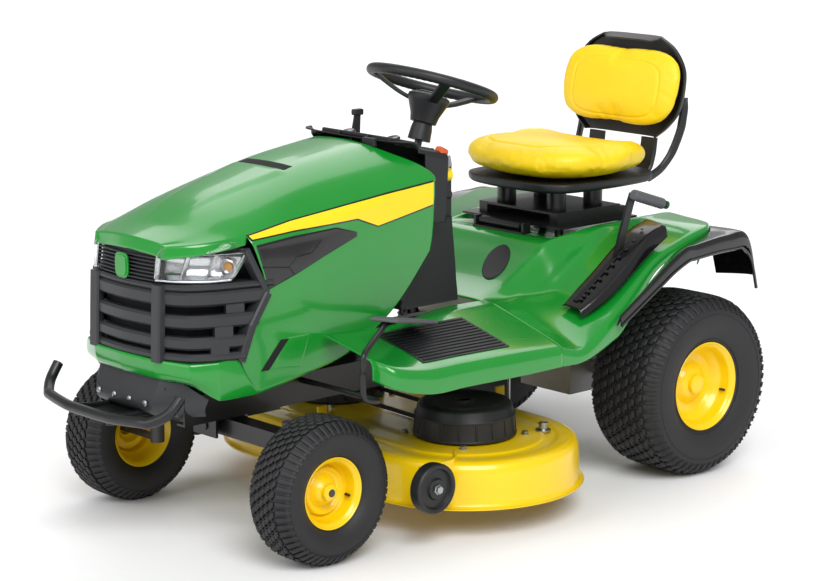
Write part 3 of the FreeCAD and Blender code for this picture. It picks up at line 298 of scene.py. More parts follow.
def surface_of(stations: Sequence[Path], ease: float = 0.12) -> Callable[[float, float], Vector]:
    """A smooth surface through stations, each a path with the same count of points.

    Args:
        stations: Paths in millimetres.
        ease: How tightly each path turns its corners.

    Returns:
        A function of two shares, along the stations and along the path.
    """
    rows = [eased(path, ease) for path in stations]

    def surface(u: float, v: float) -> Vector:
        """The point at two shares, along the stations and along the path."""
        return spline([spline(row, v) for row in rows], u)

    return surface


def skin(bm: bmesh.types.BMesh, surface: Callable[[float, float], Vector], rows: int, cols: int,
         outward: Point) -> list[bmesh.types.BMFace]:
    """Adds a grid laid on a surface, facing outwards.

    Args:
        bm: The mesh being built.
        surface: The surface as a function of two shares.
        rows: Cells along the first share.
        cols: Cells along the second share.
        outward: A direction that the outer side faces.

    Returns:
        The new faces.
    """
    grid = bmesh.ops.create_grid(bm, x_segments=cols, y_segments=rows, size=0.5)["verts"]
    for vert in grid:
        vert.co = surface(min(max(vert.co.y + 0.5, 0), 1), min(max(vert.co.x + 0.5, 0), 1))
    faces = list({f for vert in grid for f in vert.link_faces})
    bm.normal_update()
    if sum((f.normal * f.calc_area() for f in faces), Vector()).dot(Vector(outward)) < 0:
        bmesh.ops.reverse_faces(bm, faces=faces)
    return faces


def block(bm: bmesh.types.BMesh, centre: Point, size: Point, turn: Matrix | None = None, edge: float = 2.0) -> None:
    """Adds a bevelled block.

    Args:
        bm: The mesh being built.
        centre: Its middle in millimetres.
        size: Its three sizes in millimetres.
        turn: A rotation about its middle.
        edge: The bevel in millimetres.
    """
    cube = bmesh.ops.create_cube(bm, size=1.0)["verts"]
    bmesh.ops.scale(bm, vec=Vector(size) / 1000, verts=cube)
    edges = list({e for v in cube for e in v.link_edges})
    made = bmesh.ops.bevel(bm, geom=edges, offset=edge / 1000, affect="EDGES", segments=2, profile=0.5, material=-1)
    verts = list({v for f in made["faces"] for v in f.verts} | {v for v in cube if v.is_valid})
    if turn is not None:
        bmesh.ops.rotate(bm, verts=verts, matrix=turn.to_3x3())
    bmesh.ops.translate(bm, vec=place(*centre), verts=verts)


def lathe(bm: bmesh.types.BMesh, profile: Sequence[tuple[float, float]], centre: Point, axis: Point,
          steps: int = 96) -> None:
    """Adds a closed ring or a solid of revolution.

    Args:
        bm: The mesh being built.
        profile: A closed outline as (radius, distance along the axis) in millimetres.
        centre: The axis' own zero in millimetres.
        axis: The axis' direction.
        steps: Steps round the turn.
    """
    along = Vector(axis).normalized()
    side = along.orthogonal().normalized()
    middle = place(*centre)
    verts = [bm.verts.new(middle + side * (r / 1000) + along * (d / 1000)) for r, d in profile]
    edges = [bm.edges.new((a, b)) for a, b in zip(verts, verts[1:] + verts[:1]) if a is not b]
    bmesh.ops.spin(bm, geom=verts + edges, cent=middle, axis=along, angle=math.tau, steps=steps, use_merge=True)
    touched = [v for v in bm.verts if v.is_valid]
    bmesh.ops.remove_doubles(bm, verts=touched, dist=0.00002)
    bmesh.ops.dissolve_degenerate(bm, edges=bm.edges[:], dist=0.000001)
    bmesh.ops.recalc_face_normals(bm, faces=bm.faces[:])


def sweep(bm: bmesh.types.BMesh, outline: Sequence[tuple[float, float]], path: Path, ease: float = 0.25,
          steps: int = 8, up: Point = (0, 0, 1)) -> None:
    """Adds a bar of one cross-section along a path, with capped ends.

    Args:
        bm: The mesh being built.
        outline: The cross-section in millimetres, sideways and upwards.
        path: Points in millimetres.
        ease: The share of each run given to its corner, or 0 for a straight bar.
        steps: Lengths that each bend is divided into.
        up: The direction that stands for upwards in the outline.
    """
    line = eased(path, ease) if len(path) > 2 else [place(*p) for p in path]
    count = steps * (len(line) - 1) if len(path) > 2 else 1
    spots = [spline(line, k / count) for k in range(count + 1)]
    rings = []
    for k, spot in enumerate(spots):
        way = (spots[min(k + 1, count)] - spots[max(k - 1, 0)]).normalized()
        side = Vector(up).cross(way).normalized()
        top = way.cross(side)
        rings.append([spot + side * (a / 1000) + top * (b / 1000) for a, b in outline])
    face = bm.faces.new([bm.verts.new(p) for p in rings[0]])
    end = list(face.verts)
    for ring in rings[1:]:
        edges = [next(e for e in a.link_edges if e.other_vert(a) is b) for a, b in zip(end, end[1:] + end[:1])]
        grown = bmesh.ops.extrude_edge_only(bm, edges=edges)["geom"]
        fresh = {v for v in grown if isinstance(v, bmesh.types.BMVert)}
        end = [next(e.other_vert(v) for e in v.link_edges if e.other_vert(v) in fresh) for v in end]
        for vert, spot in zip(end, ring):
            vert.co = spot
    bm.faces.new(end)
    bmesh.ops.recalc_face_normals(bm, faces=bm.faces[:])


def round_outline(radius: float, count: int = 16) -> list[tuple[float, float]]:
    """A round cross-section in millimetres."""
    return [(radius * math.cos(math.tau * k / count), radius * math.sin(math.tau * k / count)) for k in range(count)]


def flat_outline(width: float, height: float, corner: float = 1.5) -> list[tuple[float, float]]:
    """A flat cross-section with cut corners, in millimetres."""
    a, b, c = width / 2, height / 2, min(corner, width / 3, height / 3)
    return [(a - c, -b), (a, -b + c), (a, b - c), (a - c, b), (-a + c, b), (-a, b - c), (-a, -b + c), (-a + c, -b)]


@dataclass
class Assembly:
    """One sub-assembly that rides on a body."""

    body: str = "chassis"

    def piece(self, name: str, bm: bmesh.types.BMesh, finish: Finish, nodes: Sequence[str] = (),
              wall: float = 0.0, edge: float = 0.0, levels: int = 0) -> bpy.types.Object:
        """Turns a built mesh into a dressed piece that rides on this assembly's body.

        Args:
            name: The piece's name.
            bm: The built mesh, which is used up.
            finish: Its surface.
            nodes: The CAD nodes it stands for.
            wall: A wall thickness in millimetres, added inwards.
            edge: A bevel in millimetres on its sharp edges.
            levels: Subdivision levels.

        Returns:
            The new object.
        """
        mesh = bpy.data.meshes.new(name)
        bm.normal_update()
        bm.to_mesh(mesh)
        bm.free()
        mesh.polygons.foreach_set("use_smooth", [True] * len(mesh.polygons))
        made = bpy.data.objects.new(name, mesh)
        bpy.context.scene.collection.objects.link(made)
        made.data.materials.append(finish.build())
        if wall:
            shell = made.modifiers.new("wall", "SOLIDIFY")
            shell.thickness, shell.offset = wall / 1000, -1
        if levels:
            fine = made.modifiers.new("fine", "SUBSURF")
            fine.levels = fine.render_levels = levels
        if edge:
            rounding = made.modifiers.new("edge", "BEVEL")
            rounding.width, rounding.segments, rounding.limit_method = edge / 1000, 2, "ANGLE"
            rounding.angle_limit = math.radians(40)
        soft = made.modifiers.new("even", "WEIGHTED_NORMAL")
        soft.keep_sharp = True
        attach(made, self.body)
        if nodes:
            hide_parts(*nodes)
        LOG.info("%s rides on %s", name, self.body)
        return made


# ---------------------------------------------------------------- studio


@dataclass
class Studio:
    """The camera, the floor and the soft lights."""

    eye: Point = (4931.5, 4765.4, 1840.2)
    target: Point = (591.4, 15.65, 510.7)
    lens_mm: float = 108.26
    floor_m: float = 400.0

    def build(self) -> None:
        """Makes the camera, the floor and the lights."""
        data = bpy.data.cameras.new("camera")
        data.lens, data.sensor_width, data.clip_end = self.lens_mm, 36.0, 600.0
        camera = bpy.data.objects.new("camera", data)
        bpy.context.scene.collection.objects.link(camera)
        eye, target = place(*self.eye), place(*self.target)
        camera.location = eye
        camera.rotation_euler = (target - eye).to_track_quat("-Z", "Y").to_euler()
        bpy.context.scene.camera = camera
        self.floor()
        self.sun("key", (2600, 3600, 4200), 35, 2.4)
        self.sun("front", (5200, -600, 3000), 50, 1.0)
        self.sun("back", (-2600, -2400, 4200), 50, 0.9)
        world = bpy.data.worlds.new("studio")
        world.use_nodes = True
        sky = world.node_tree.nodes["Background"]
        sky.inputs["Color"].default_value = (1, 1, 1, 1)
        sky.inputs["Strength"].default_value = 0.42
        bpy.context.scene.world = world
        bpy.context.scene.view_settings.view_transform = "Standard"

    def floor(self) -> None:
        """Makes the pale floor."""
        bm = bmesh.new()
        bmesh.ops.create_grid(bm, x_segments=2, y_segments=2, size=self.floor_m / 2)
        mesh = bpy.data.meshes.new("floor")
        bm.to_mesh(mesh)
        bm.free()
        floor = bpy.data.objects.new("floor", mesh)
        floor.data.materials.append(PAPER.build())
        bpy.context.scene.collection.objects.link(floor)

    def sun(self, name: str, spot: Point, spread: float, power: float) -> None:
        """Adds a far soft lamp that shines on the machine from a place.

        Args:
            name: The lamp's name.
            spot: Where it shines from, in millimetres.
            spread: Its apparent width in degrees.
            power: Its strength in watts per square metre.
        """
        data = bpy.data.lights.new(name, "SUN")
        data.angle, data.energy = math.radians(spread), power
        lamp = bpy.data.objects.new(name, data)
        lamp.location = place(*spot)
        lamp.rotation_euler = (place(600, 0, 450) - lamp.location).to_track_quat("-Z", "Y").to_euler()
        bpy.context.scene.collection.objects.link(lamp)


# ---------------------------------------------------------------- wheels


@dataclass
class Wheel(Assembly):
    """A pressed rim with its valve, and a turf tyre with moulded lugs."""

    end: str = "front"
    sign: int = 1
    radius: float = 177.5
    width: float = 144.0
    flange: float = 87.0
    bead: float = 76.0
    half: float = 52.0
    dish: float = 4.0
    hub: float = 17.0
    centre: Point = (1240, 374, 177.5)
    round_count: int = 44
    rows: int = 5
    tread: float = 7.0

    def carcass(self) -> list[Vector]:
        """The tyre's outer half profile as (radius, sideways) from the crown to the bead."""
        side, tall = self.width / 2, self.radius - self.flange
        points = [(self.radius - self.tread, 0), (self.radius - self.tread, side * 0.3),
                  (self.radius - self.tread - 1, side * 0.55), (self.radius - self.tread - 5, side - 26),
                  (self.radius - 21, side - 12), (self.flange + 0.7 * tall, side - 3),
                  (self.flange + 0.5 * tall, side), (self.flange + 0.28 * tall, side - 4),
                  (self.flange + 0.1 * tall, side - 13), (self.flange + 1, self.half - 3)]
        return [Vector((r, d, 0)) for r, d in points]

    def at(self, angle: float, radius: float, out: float) -> Vector:
        """A point from an angle round the axle, a radius and a distance outwards, in millimetres."""
        x, y, z = self.centre
        return place(x + radius * math.cos(angle), y + self.sign * out, z + radius * math.sin(angle))

    def along(self, distance: float, height: float) -> tuple[float, float]:
        """The radius and sideways place at a distance along the carcass from the crown, raised by a height.

        Args:
            distance: Signed distance from the crown in millimetres.
            height: Height over the carcass in millimetres.

        Returns:
            The radius and the sideways place.
        """
        points, left = self.carcass(), abs(distance)
        for a, b in zip(points, points[1:]):
            run = (b - a).length
            if left <= run:
                break
            left -= run
        spot, way = a.lerp(b, min(left / run, 1)), (b - a).normalized()
        radius, out = spot.x + height * way.y, spot.y - height * way.x
        return min(radius, self.radius), math.copysign(out, distance)

    def lug(self, bm: bmesh.types.BMesh, outline: Sequence[tuple[float, float]], angle: float, at_mm: float,
            long: float, wide: float, low: float, high: float) -> None:
        """Adds one moulded lug on the carcass.

        Args:
            bm: The mesh being built.
            outline: Its shape, each coordinate from -0.5 to 0.5.
            angle: Its place round the axle.
            at_mm: Its place across the carcass.
            long: Its length round the tyre.
            wide: Its width across.
            low: The height where it starts.
            high: The height of its top.
        """
        levels = []
        for height, shrink in ((low, 1.0), (high, 0.86)):
            spots = []
            for c, a in outline:
                radius, out = self.along(at_mm + a * wide * shrink, height)
                spots.append(self.at(angle + c * long * shrink / self.radius, radius, out))
            levels.append([bm.verts.new(p) for p in spots])
        bm.faces.new(levels[1])
        for k, vert in enumerate(levels[0]):
            after = (k + 1) % len(outline)
            bm.faces.new((vert, levels[0][after], levels[1][after], levels[1][k]))
        bm.faces.new(levels[0][::-1])

    def tyre(self) -> None:
        """Builds the carcass, the blocks across its crown and the ribs round its shoulders."""
        half = self.carcass()
        smooth = [spline(half, k / 27) for k in range(28)]
        ring = [(p.x, p.y) for p in smooth] + [(self.bead + 4, self.half - 8), (self.bead + 1, self.half - 16),
                                               (self.bead + 1, self.half - 30), (self.radius - 22, 0)]
        ring += [(r, -d) for r, d in ring[-2:0:-1]]
        bm = bmesh.new()
        lathe(bm, ring, self.centre, (0, self.sign, 0), 96)
        bead_line = 0.5 * (self.flange + self.radius)
        for radius, out in ((bead_line + 14, self.width / 2 - 0.6), (self.flange + 9, self.half + 4)):
            lathe(bm, [(radius - 2, out - 2), (radius + 2, out - 2), (radius + 1, out + 1), (radius - 1, out + 1)],
                  self.centre, (0, self.sign, 0), 96)
        shape = [(-.5, -.5), (.12, -.5), (.2, -.12), (.5, -.06), (.5, .5), (-.12, .5), (-.2, .12), (-.5, .06)]
        wide = (self.width - 62) / self.rows
        pitch = math.tau / self.round_count
        arc = pitch * self.radius
        for row in range(self.rows):
            at_mm = (row - (self.rows - 1) / 2) * wide
            for k in range(self.round_count):
                angle = (k + 0.5 * (row % 2)) * pitch
                self.lug(bm, shape, angle, at_mm, arc * 0.86, wide * 0.84, -1, self.tread)
        bar = [(-.5, -.5), (.5, -.5), (.5, .1), (.32, .5), (-.32, .5), (-.5, .1)]
        reach = self.rows / 2 * wide
        for sign in (1, -1):
            for k in range(self.round_count + 12):
                angle = (k + 0.25) * math.tau / (self.round_count + 12)
                flip = [(c, a * sign) for c, a in bar]
                self.lug(bm, flip, angle, sign * (reach + 19), arc * 0.5, 40, -1, self.tread * 0.72)
        bmesh.ops.recalc_face_normals(bm, faces=bm.faces[:])
        side = "left" if self.sign > 0 else "right"
        made = self.piece(f"{self.end}_tyre_tread_{side}", bm, RUBBER, (f"{self.end}_tyre_{side}",))

    def rim(self) -> None:
        """Builds the pressed barrel, the dished disc, the hub and the valve."""
        side = "left" if self.sign > 0 else "right"
        half, bead, dish, hub = self.half, self.bead, self.dish, self.hub
        barrel = [(self.flange + 1, half - 1), (self.flange - 1, half + 1), (self.flange - 4, half - 1),
                  (bead + 3, half - 7), (bead + 1, half - 13), (bead - 2, half - 33), (bead - 6, half - 38),
                  (bead - 14, half - 44), (bead - 15, 44 - half), (bead - 3, 33 - half), (bead, 12 - half),
                  (self.flange, 1 - half), (self.flange + 1, -half), (self.flange - 3, 2 - half), (bead - 3, 12 - half),
                  (bead - 6, 34 - half), (bead - 18, 46 - half), (bead - 18, dish - 6),
                  (bead - 20, dish + 12), (bead - 24, dish + 3), (0.55 * bead, dish), (0.45 * bead, dish + 3),
                  (0.38 * bead, dish + 14), (0.3 * bead, dish + 18), (hub + 2, dish + 19), (hub, dish + 22),
                  (hub, dish + 34), (hub - 4, dish + 37), (0, dish + 38), (0, dish + 42), (hub - 3, dish + 41),
                  (hub + 3, dish + 38), (hub + 4, dish + 26), (0.33 * bead, dish + 23), (0.42 * bead, dish + 18),
                  (0.5 * bead, dish + 7), (0.58 * bead, dish + 4), (bead - 26, dish + 7), (bead - 20, dish + 16),
                  (bead - 16, half - 46), (bead - 10, half - 40), (bead - 5, half - 34), (bead - 3, half - 14),
                  (bead - 1, half - 9), (self.flange - 5, half - 3)]
        bm = bmesh.new()
        lathe(bm, barrel, self.centre, (0, self.sign, 0), 96)
        made = self.piece(f"{self.end}_rim_pressing_{side}", bm, YELLOW_PAINT, (f"{self.end}_rim_{side}",), edge=0.8)
        if self.end == "rear":
            bm = bmesh.new()
            shaft = [(0, -270), (12.7, -270), (12.7, dish + 30), (0, dish + 30)]
            lathe(bm, shaft, self.centre, (0, self.sign, 0), 32)
            self.piece(f"rear_axle_shaft_{side}", bm, BRIGHT_STEEL, edge=1)
        bm = bmesh.new()
        turn = math.radians(197 if self.sign > 0 else 343)
        a, b = self.at(turn, bead - 9, half - 32), self.at(turn, bead - 15, half - 12)
        back = 1000 * (a - place(0, 0, 0)), 1000 * (b - place(0, 0, 0))
        sweep(bm, round_outline(3.6, 12), [tuple(back[0]), tuple(back[1])])
        self.piece(f"{self.end}_valve_{side}", bm, BLACK_TRIM, edge=0.6)


# ---------------------------------------------------------------- hood


@dataclass
class Hood(Assembly):
    """The moulded hood: its shell, chin, grille, lamps and side trims."""

    body: str = "hood"
    wall: float = 3.5
    stations: tuple[Path, ...] = (
        ((765, 243, 672), (758, 243, 700), (752, 242, 745), (750, 241, 775), (744, 238, 820), (740, 229, 868),
         (846, 135, 925), (846, 0, 936)),
        ((885, 247, 547), (884, 249, 590), (884, 250, 640), (884, 249, 700), (884, 244, 780), (885, 234, 849),
         (905, 134, 918), (905, 0, 929)),
        ((1040, 252, 457), (1040, 253, 520), (1040, 253, 585), (1040, 251, 650), (1040, 246, 740),
         (1040, 237, 822), (1040, 131, 899), (1040, 0, 908)),
        ((1180, 254, 425), (1180, 255, 500), (1180, 254, 570), (1180, 252, 640), (1180, 246, 720),
         (1180, 232, 799), (1180, 128, 868), (1180, 0, 876)),
        ((1322, 254, 402), (1372, 243, 488), (1343, 249, 566), (1288, 251, 642), (1313, 242, 735),
         (1328, 231, 771), (1325, 122, 830), (1325, 0, 838)),
    )
    nose: tuple[Path, ...] = (
        ((1432, 198, 763), (1440, 117, 784), (1445, 0, 791)),
        ((1500, 128, 758), (1500, 112, 764), (1512, 0, 772)),
    )

    def build(self) -> None:
        """Builds every piece of the hood."""
        self.shell()
        self.chin()
        self.grille()
        for sign in (1, -1):
            self.lamp(sign)
        self.trims()

    def shell(self) -> None:
        """Builds the green shell, its lip over the lamps and its raised centre panel."""
        bm = bmesh.new()
        last, before = self.stations[-1][:5], self.stations[-2][:5]
        ahead = []
        for reach, crest in zip((1.0, 1.5), self.nose):
            side = tuple(tuple(a + reach * (a - b) for a, b in zip(here, back)) for here, back in zip(last, before))
            ahead.append(side + crest)
        surface = surface_of([whole(half) for half in (*self.stations, *ahead)], 0.26)
        # Both creases lie 9.5 of the 27 spans in from the hem, and the last side station at two thirds forward.
        first, share = 9.5 / 27, 8 / 27
        skin(bm, lambda u, v: self.raised(surface(u * 2 / 3, v)), 64, 162, (0, 0, 1))
        skin(bm, lambda u, v: self.raised(surface((2 + u) / 3, first + share * v)), 32, 48, (0, 0, 1))
        front_fall = Vector((0.005, 0, -0.031))
        skin(bm, lambda u, v: surface(1, first + share * v) + front_fall * u, 6, 48, (1, 0, 0))
        for sign, edge in ((1, first), (-1, first + share)):
            fall = Vector((0.008, 0.006 * sign, -0.019))
            skin(bm, lambda u, v, e=edge, f=fall: surface((2 + v) / 3, e) + f.lerp(front_fall, v) * u, 4, 32,
                 (1, sign, 0))
        bmesh.ops.remove_doubles(bm, verts=bm.verts[:], dist=0.0006)
        self.mesh_tree = BVHTree.FromBMesh(bm)
        made = self.piece("hood_moulding", bm, GREEN, ("hood_shell",), wall=self.wall)

    @staticmethod
    def raised(spot: Vector) -> Vector:
        """Lifts the hood's middle panel a little, from behind the vent to near the nose.

        Args:
            spot: A point on the plain surface.

        Returns:
            The point on the finished surface.
        """
        x, y, z = 1000 * (spot - place(0, 0, 0))
        if z < 740:
            return spot
        half_width = 96 - 0.13 * (x - 1100)
        side = min(max((half_width - abs(y)) / 14 + 0.5, 0), 1)
        ends = min(max((x - 1106) / 8, 0), 1) * min(max((1440 - x) / 160, 0), 1)
        return spot + Vector((0, 0, 0.005 * side * side * (3 - 2 * side) * ends))

    def chin(self) -> None:
        """Builds the green chin that wraps round under the grille."""
        top = [(1372, 243, 488), (1424, 237, 484), (1486, 206, 484), (1526, 117, 488), (1537, 0, 490)]
        sill = [(1360, 238, 494), (1420, 228, 489), (1478, 198, 488), (1516, 116, 491), (1527, 0, 493)]
        belly = [(1350, 256, 440), (1424, 241, 440), (1486, 208, 450), (1524, 117, 462), (1535, 0, 464)]
        low = [(1322, 253, 402), (1424, 235, 398), (1476, 190, 436), (1516, 117, 444), (1527, 0, 446)]
        under = [(1318, 240, 402), (1418, 222, 399), (1466, 182, 438), (1504, 110, 446), (1514, 0, 448)]
        bm = bmesh.new()
        skin(bm, surface_of([whole(p) for p in (sill, top, belly, low, under)], 0.14), 30, 96, (1, 0, 0.2))
        made = self.piece("hood_chin", bm, GREEN, wall=self.wall)

    def plan(self, z: float, inset: float = 0.0) -> list[Point]:
        """The grille's half path in plan at a height.

        Args:
            z: The height in millimetres.
            inset: How far behind the grille's face.

        Returns:
            Points from the raked outer end to the middle.
        """
        t = (z - 491) / (664 - 491)
        outer = 1376 + (1343 - 1376) * min(t / 0.44, 1) + (1287 - 1343) * max((t - 0.44) / 0.56, 0)
        mid, corner = (1450 - 18 * t, 222 - 12 * t), (1524 - 5 * t, 117)
        return [(outer - inset, 247 + 4 * t - inset, z), (mid[0] - inset, mid[1] - inset, z),
                (1492 - 6 * t - inset, 194 - 14 * t - inset, z), (corner[0] - inset, corner[1], z),
                (1535 - 6 * t - inset, 0, z)]

    def grille(self) -> None:
        """Builds the charcoal surround, its louvres, posts, ribs and the blank badge."""
        bm = bmesh.new()
        back = [whole(self.plan(z, 34)) for z in (486, 560, 620, 668)]
        skin(bm, surface_of(back), 8, 64, (1, 0, 0))
        self.piece("grille_backing", bm, DARK_HOLE, ("grille",), wall=3)
        bm = bmesh.new()
        for z, tall in ((499, 20), (533, 30), (583, 32), (636, 34), (662, 16)):
            path = whole([(x - 16, y * 0.985, h) for x, y, h in self.plan(z)])
            sweep(bm, flat_outline(26, tall, 6), path, 0.2)
        for sign in (1, -1):
            post = [(1516, sign * 122, 486), (1513, sign * 122, 580), (1509, sign * 122, 668)]
            sweep(bm, flat_outline(34, 22, 4), post, 0.1, up=(1, 0, 0))
            edge = [(1366, sign * 232, 486), (1338, sign * 238, 566), (1292, sign * 242, 640)]
            sweep(bm, flat_outline(40, 22, 4), edge, 0.1, up=(1, 0, 0))
            band = [(1292, sign * 241, 640), (1322, sign * 236, 700), (1342, sign * 230, 745)]
            sweep(bm, flat_outline(34, 16, 4), band, 0.1, up=(1, 0, 0))
            for z, reach in ((558, 1380), (608, 1346), (516, 1392)):
                wedge = [(reach + 2, sign * 232, z), (reach + 44, sign * 217, z)]
                sweep(bm, flat_outline(18, 34, 5), wedge)
        self.piece("grille_louvres", bm, CHARCOAL, edge=1.5)
        bm = bmesh.new()
        skin(bm, surface_of([whole([(1500, 118, 664), (1514, 0, 664)]), whole([(1492, 118, 742), (1506, 0, 742)])]),
             4, 24, (1, 0, 0))
        self.piece("badge_panel", bm, CHARCOAL, wall=4)
        bm = bmesh.new()
        for k in range(8):
            z = 668 + 8.6 * k
            lean = -0.1 * (z - 664)
            path = whole([(1510 + lean, 112, z), (1516 + lean, 60, z), (1521 + lean, 0, z)])
            sweep(bm, flat_outline(10, 3.4, 1), path, 0.2)
        self.piece("badge_ribs", bm, CHARCOAL, edge=0.5)
        bm = bmesh.new()
        shield = [(25 * math.copysign(abs(math.cos(a)) ** 0.55, math.cos(a)),
                   30 * math.copysign(abs(math.sin(a)) ** 0.55, math.sin(a)))
                  for a in (math.tau * k / 40 for k in range(40))]
        for size_of, depth in ((1.0, 0), (0.84, 3)):
            verts = [bm.verts.new(place(1522 + depth, a * size_of, 700 + b * size_of)) for a, b in shield]
            face = bm.faces.new(verts)
            grown = bmesh.ops.extrude_face_region(bm, geom=[face])["geom"]
            moved = [g for g in grown if isinstance(g, bmesh.types.BMVert)]
            bmesh.ops.translate(bm, verts=moved, vec=(0.005, 0, 0))
        bmesh.ops.recalc_face_normals(bm, faces=bm.faces[:])
        self.piece("blank_badge", bm, GREEN, edge=1)

    def lamp(self, sign: int) -> None:
        """Builds one headlamp: its clear lens, plated bowl, facets and marker.

        Args:
            sign: 1 for the left lamp and -1 for the right one.
        """
        name = "left" if sign > 0 else "right"

        def shifted(path: Path, back: float) -> list[Point]:
            """The path set back behind the lens, on this lamp's side."""
            return [(x - back, sign * (y - back * 0.5), z) for x, y, z in path]

        low = [(1380, 225, 674), (1428, 204, 672), (1480, 165, 673), (1521, 122, 677)]
        mid = [(1349, 240, 737), (1416, 214, 737), (1472, 172, 738), (1513, 122, 740)]
        top = [(1366, 228, 766), (1412, 198, 762), (1452, 160, 760), (1476, 122, 762)]
        bm = bmesh.new()
        skin(bm, surface_of([shifted(p, 0) for p in (low, mid, top)], 0.2), 18, 32, (1, sign, 0))
        lens = self.piece(f"headlamp_lens_{name}", bm, LENS, ("headlamps",), wall=2.5)
        bm = bmesh.new()
        bowl = [shifted(low, 8), [(x - 30, sign * (y - 16), 690) for x, y, _ in low],
                [(x - 34, sign * (y - 18), 726) for x, y, _ in mid], shifted(mid, 9)]
        skin(bm, surface_of(bowl, 0.15), 12, 32, (1, sign, 0))
        self.piece(f"headlamp_bowl_{name}", bm, SILVER, wall=2)
        bm = bmesh.new()
        for t in (0.0, 0.33, 0.66, 1.0):
            a, b = Vector(low[0]).lerp(Vector(low[3]), t), Vector(mid[0]).lerp(Vector(mid[3]), t)
            path = [(a.x - 10, sign * (a.y - 6), a.z + 5), (b.x - 10, sign * (b.y - 6), b.z - 4)]
            sweep(bm, flat_outline(5, 12, 1), path, up=(1, 0, 0))
        rim = [(x - 5, sign * (y - 3), z + 3) for x, y, z in low]
        sweep(bm, flat_outline(8, 5, 1), rim, 0.2)
        self.piece(f"headlamp_bezel_{name}", bm, SILVER, edge=0.6)
        bm = bmesh.new()
        spot, facing = (1372, sign * 210, 706), (0.7, 0.7 * sign, 0)
        lathe(bm, [(0, 0), (16, 0), (17, 4), (14, 6), (10, 3), (0, 2)], spot, facing, 32)
        self.piece(f"headlamp_ring_{name}", bm, SILVER, edge=0.4)
        bm = bmesh.new()
        lathe(bm, [(0, 4), (9, 4), (8, 9), (0, 11)], spot, facing, 24)
        self.piece(f"headlamp_marker_{name}", bm, AMBER, edge=0.4)

    def clad(self, bm: bmesh.types.BMesh, top: Path, low: Path, sign: int, proud: float, rows: int, cols: int) -> None:
        """Adds a thin patch laid on the hood's side between two lines.

        Args:
            bm: The mesh being built.
            top: The upper line, as forward distance and height.
            low: The lower line.
            sign: 1 for the left side and -1 for the right one.
            proud: How far it stands off the hood.
            rows: Cells from line to line.
            cols: Cells along the lines.
        """
        upper = [place(x, 0, z) for x, z in top]
        lower = [place(x, 0, z) for x, z in low]

        def laid(u: float, v: float) -> Vector:
            """Lays the share of the patch on the hood by a ray from its middle plane.

            Args:
                u: The share from the upper line to the lower one.
                v: The share along the lines.

            Returns:
                The point, a little proud of the hood.
            """
            spot = linear_path(upper, v).lerp(linear_path(lower, v), u)
            start = Vector((spot.x, sign * 0.5, spot.z))
            hit, normal, _, _ = self.mesh_tree.ray_cast(start, Vector((0, -sign, 0)))
            if hit is None:
                hit, normal, _, _ = self.mesh_tree.find_nearest(Vector((spot.x, sign * 0.24, spot.z)))
            if normal.y * sign < 0:
                normal = -normal
            return hit + normal * (proud / 1000)

        skin(bm, laid, rows, cols, (0, sign, 0))

    def crown(self, x: float, y: float) -> float:
        """The height of the hood's top at a place in plan, in millimetres."""
        hit, _, _, _ = self.mesh_tree.ray_cast(place(x, y, 1000), Vector((0, 0, -1)))
        return 1000 * hit.z

    def trims(self) -> None:
        """Builds the side stripes with their dark outlines, the faceted inserts, and the vent and side slots."""
        film, border, insert = bmesh.new(), bmesh.new(), bmesh.new()
        for sign in (1, -1):
            self.clad(film, [(1322, 772.5), (1200, 793), (1040, 812), (900, 827), (748, 840)],
                      [(1318, 765), (1200, 773), (1004, 780), (940, 755), (754, 786)], sign, 2.2, 6, 96)
            self.clad(border, [(1327, 775), (1200, 796), (1040, 815.5), (900, 831), (748, 844)],
                      [(1322, 762.5), (1200, 770), (1004, 776.5), (940, 752), (756, 782)], sign, 1.2, 8, 96)
            self.clad(insert, [(1312, 752), (1200, 761), (1070, 766), (1008, 748)],
                      [(1284, 646), (1200, 672), (1110, 704), (1008, 738)], sign, 2.0, 16, 48)
        self.piece("hood_stripe_film", film, YELLOW_FILM, ("hood_stripes",), wall=0.8)
        self.piece("hood_stripe_border", border, BLACK_GLOSS, wall=0.8)
        self.piece("hood_insert_panels", insert, BLACK_GLOSS, ("hood_inserts",), wall=2)
        facets = bmesh.new()
        for sign in (1, -1):
            for a, b in (((1300, 700), (1222, 690)), ((1222, 690), (1196, 712)), ((1196, 712), (1150, 716)),
                         ((1222, 690), (1208, 672)), ((1150, 716), (1120, 740))):
                ends = []
                for x, z in (a, b):
                    spot = place(x, 0, z)
                    hit, _, _, _ = self.mesh_tree.ray_cast(spot, Vector((0, sign, 0)))
                    hit = hit or place(x, sign * 246, z)
                    ends.append(tuple(1000 * (hit - place(0, sign * -2.2, 0))))
                sweep(facets, flat_outline(4, 3, 1), ends)
        self.piece("hood_insert_facets", facets, BLACK_GLOSS, edge=0.8)
        slots = bmesh.new()
        for sign in (1, -1):
            self.clad(slots, [(1252, 520), (1228, 520)], [(1312, 452), (1288, 452)], sign, 0.9, 8, 6)
        vent = [[(x, y, self.crown(x, y) + 0.8) for y in (-86, -40, 0, 40, 86)] for x in (1076, 1106)]
        skin(slots, surface_of(vent), 3, 24, (0, 0, 1))
        self.piece("hood_side_slots", slots, DARK_HOLE, wall=0.6)
        ramps = bmesh.new()
        for sign in (1, -1):
            self.clad(ramps, [(1232, 524), (1166, 524)], [(1292, 449), (1192, 447)], sign, 0.6, 10, 12)
        self.piece("hood_side_ramps", ramps, GREEN, wall=1)


def linear_path(points: Sequence[Vector], t: float) -> Vector:
    """A point on straight runs through some points.

    Args:
        points: The points.
        t: The share of the runs, from 0 to 1.

    Returns:
        The point.
    """
    spans = len(points) - 1
    k = min(int(t * spans), spans - 1)
    return points[k].lerp(points[k + 1], t * spans - k)


# ---------------------------------------------------------------- body over the rear wheels


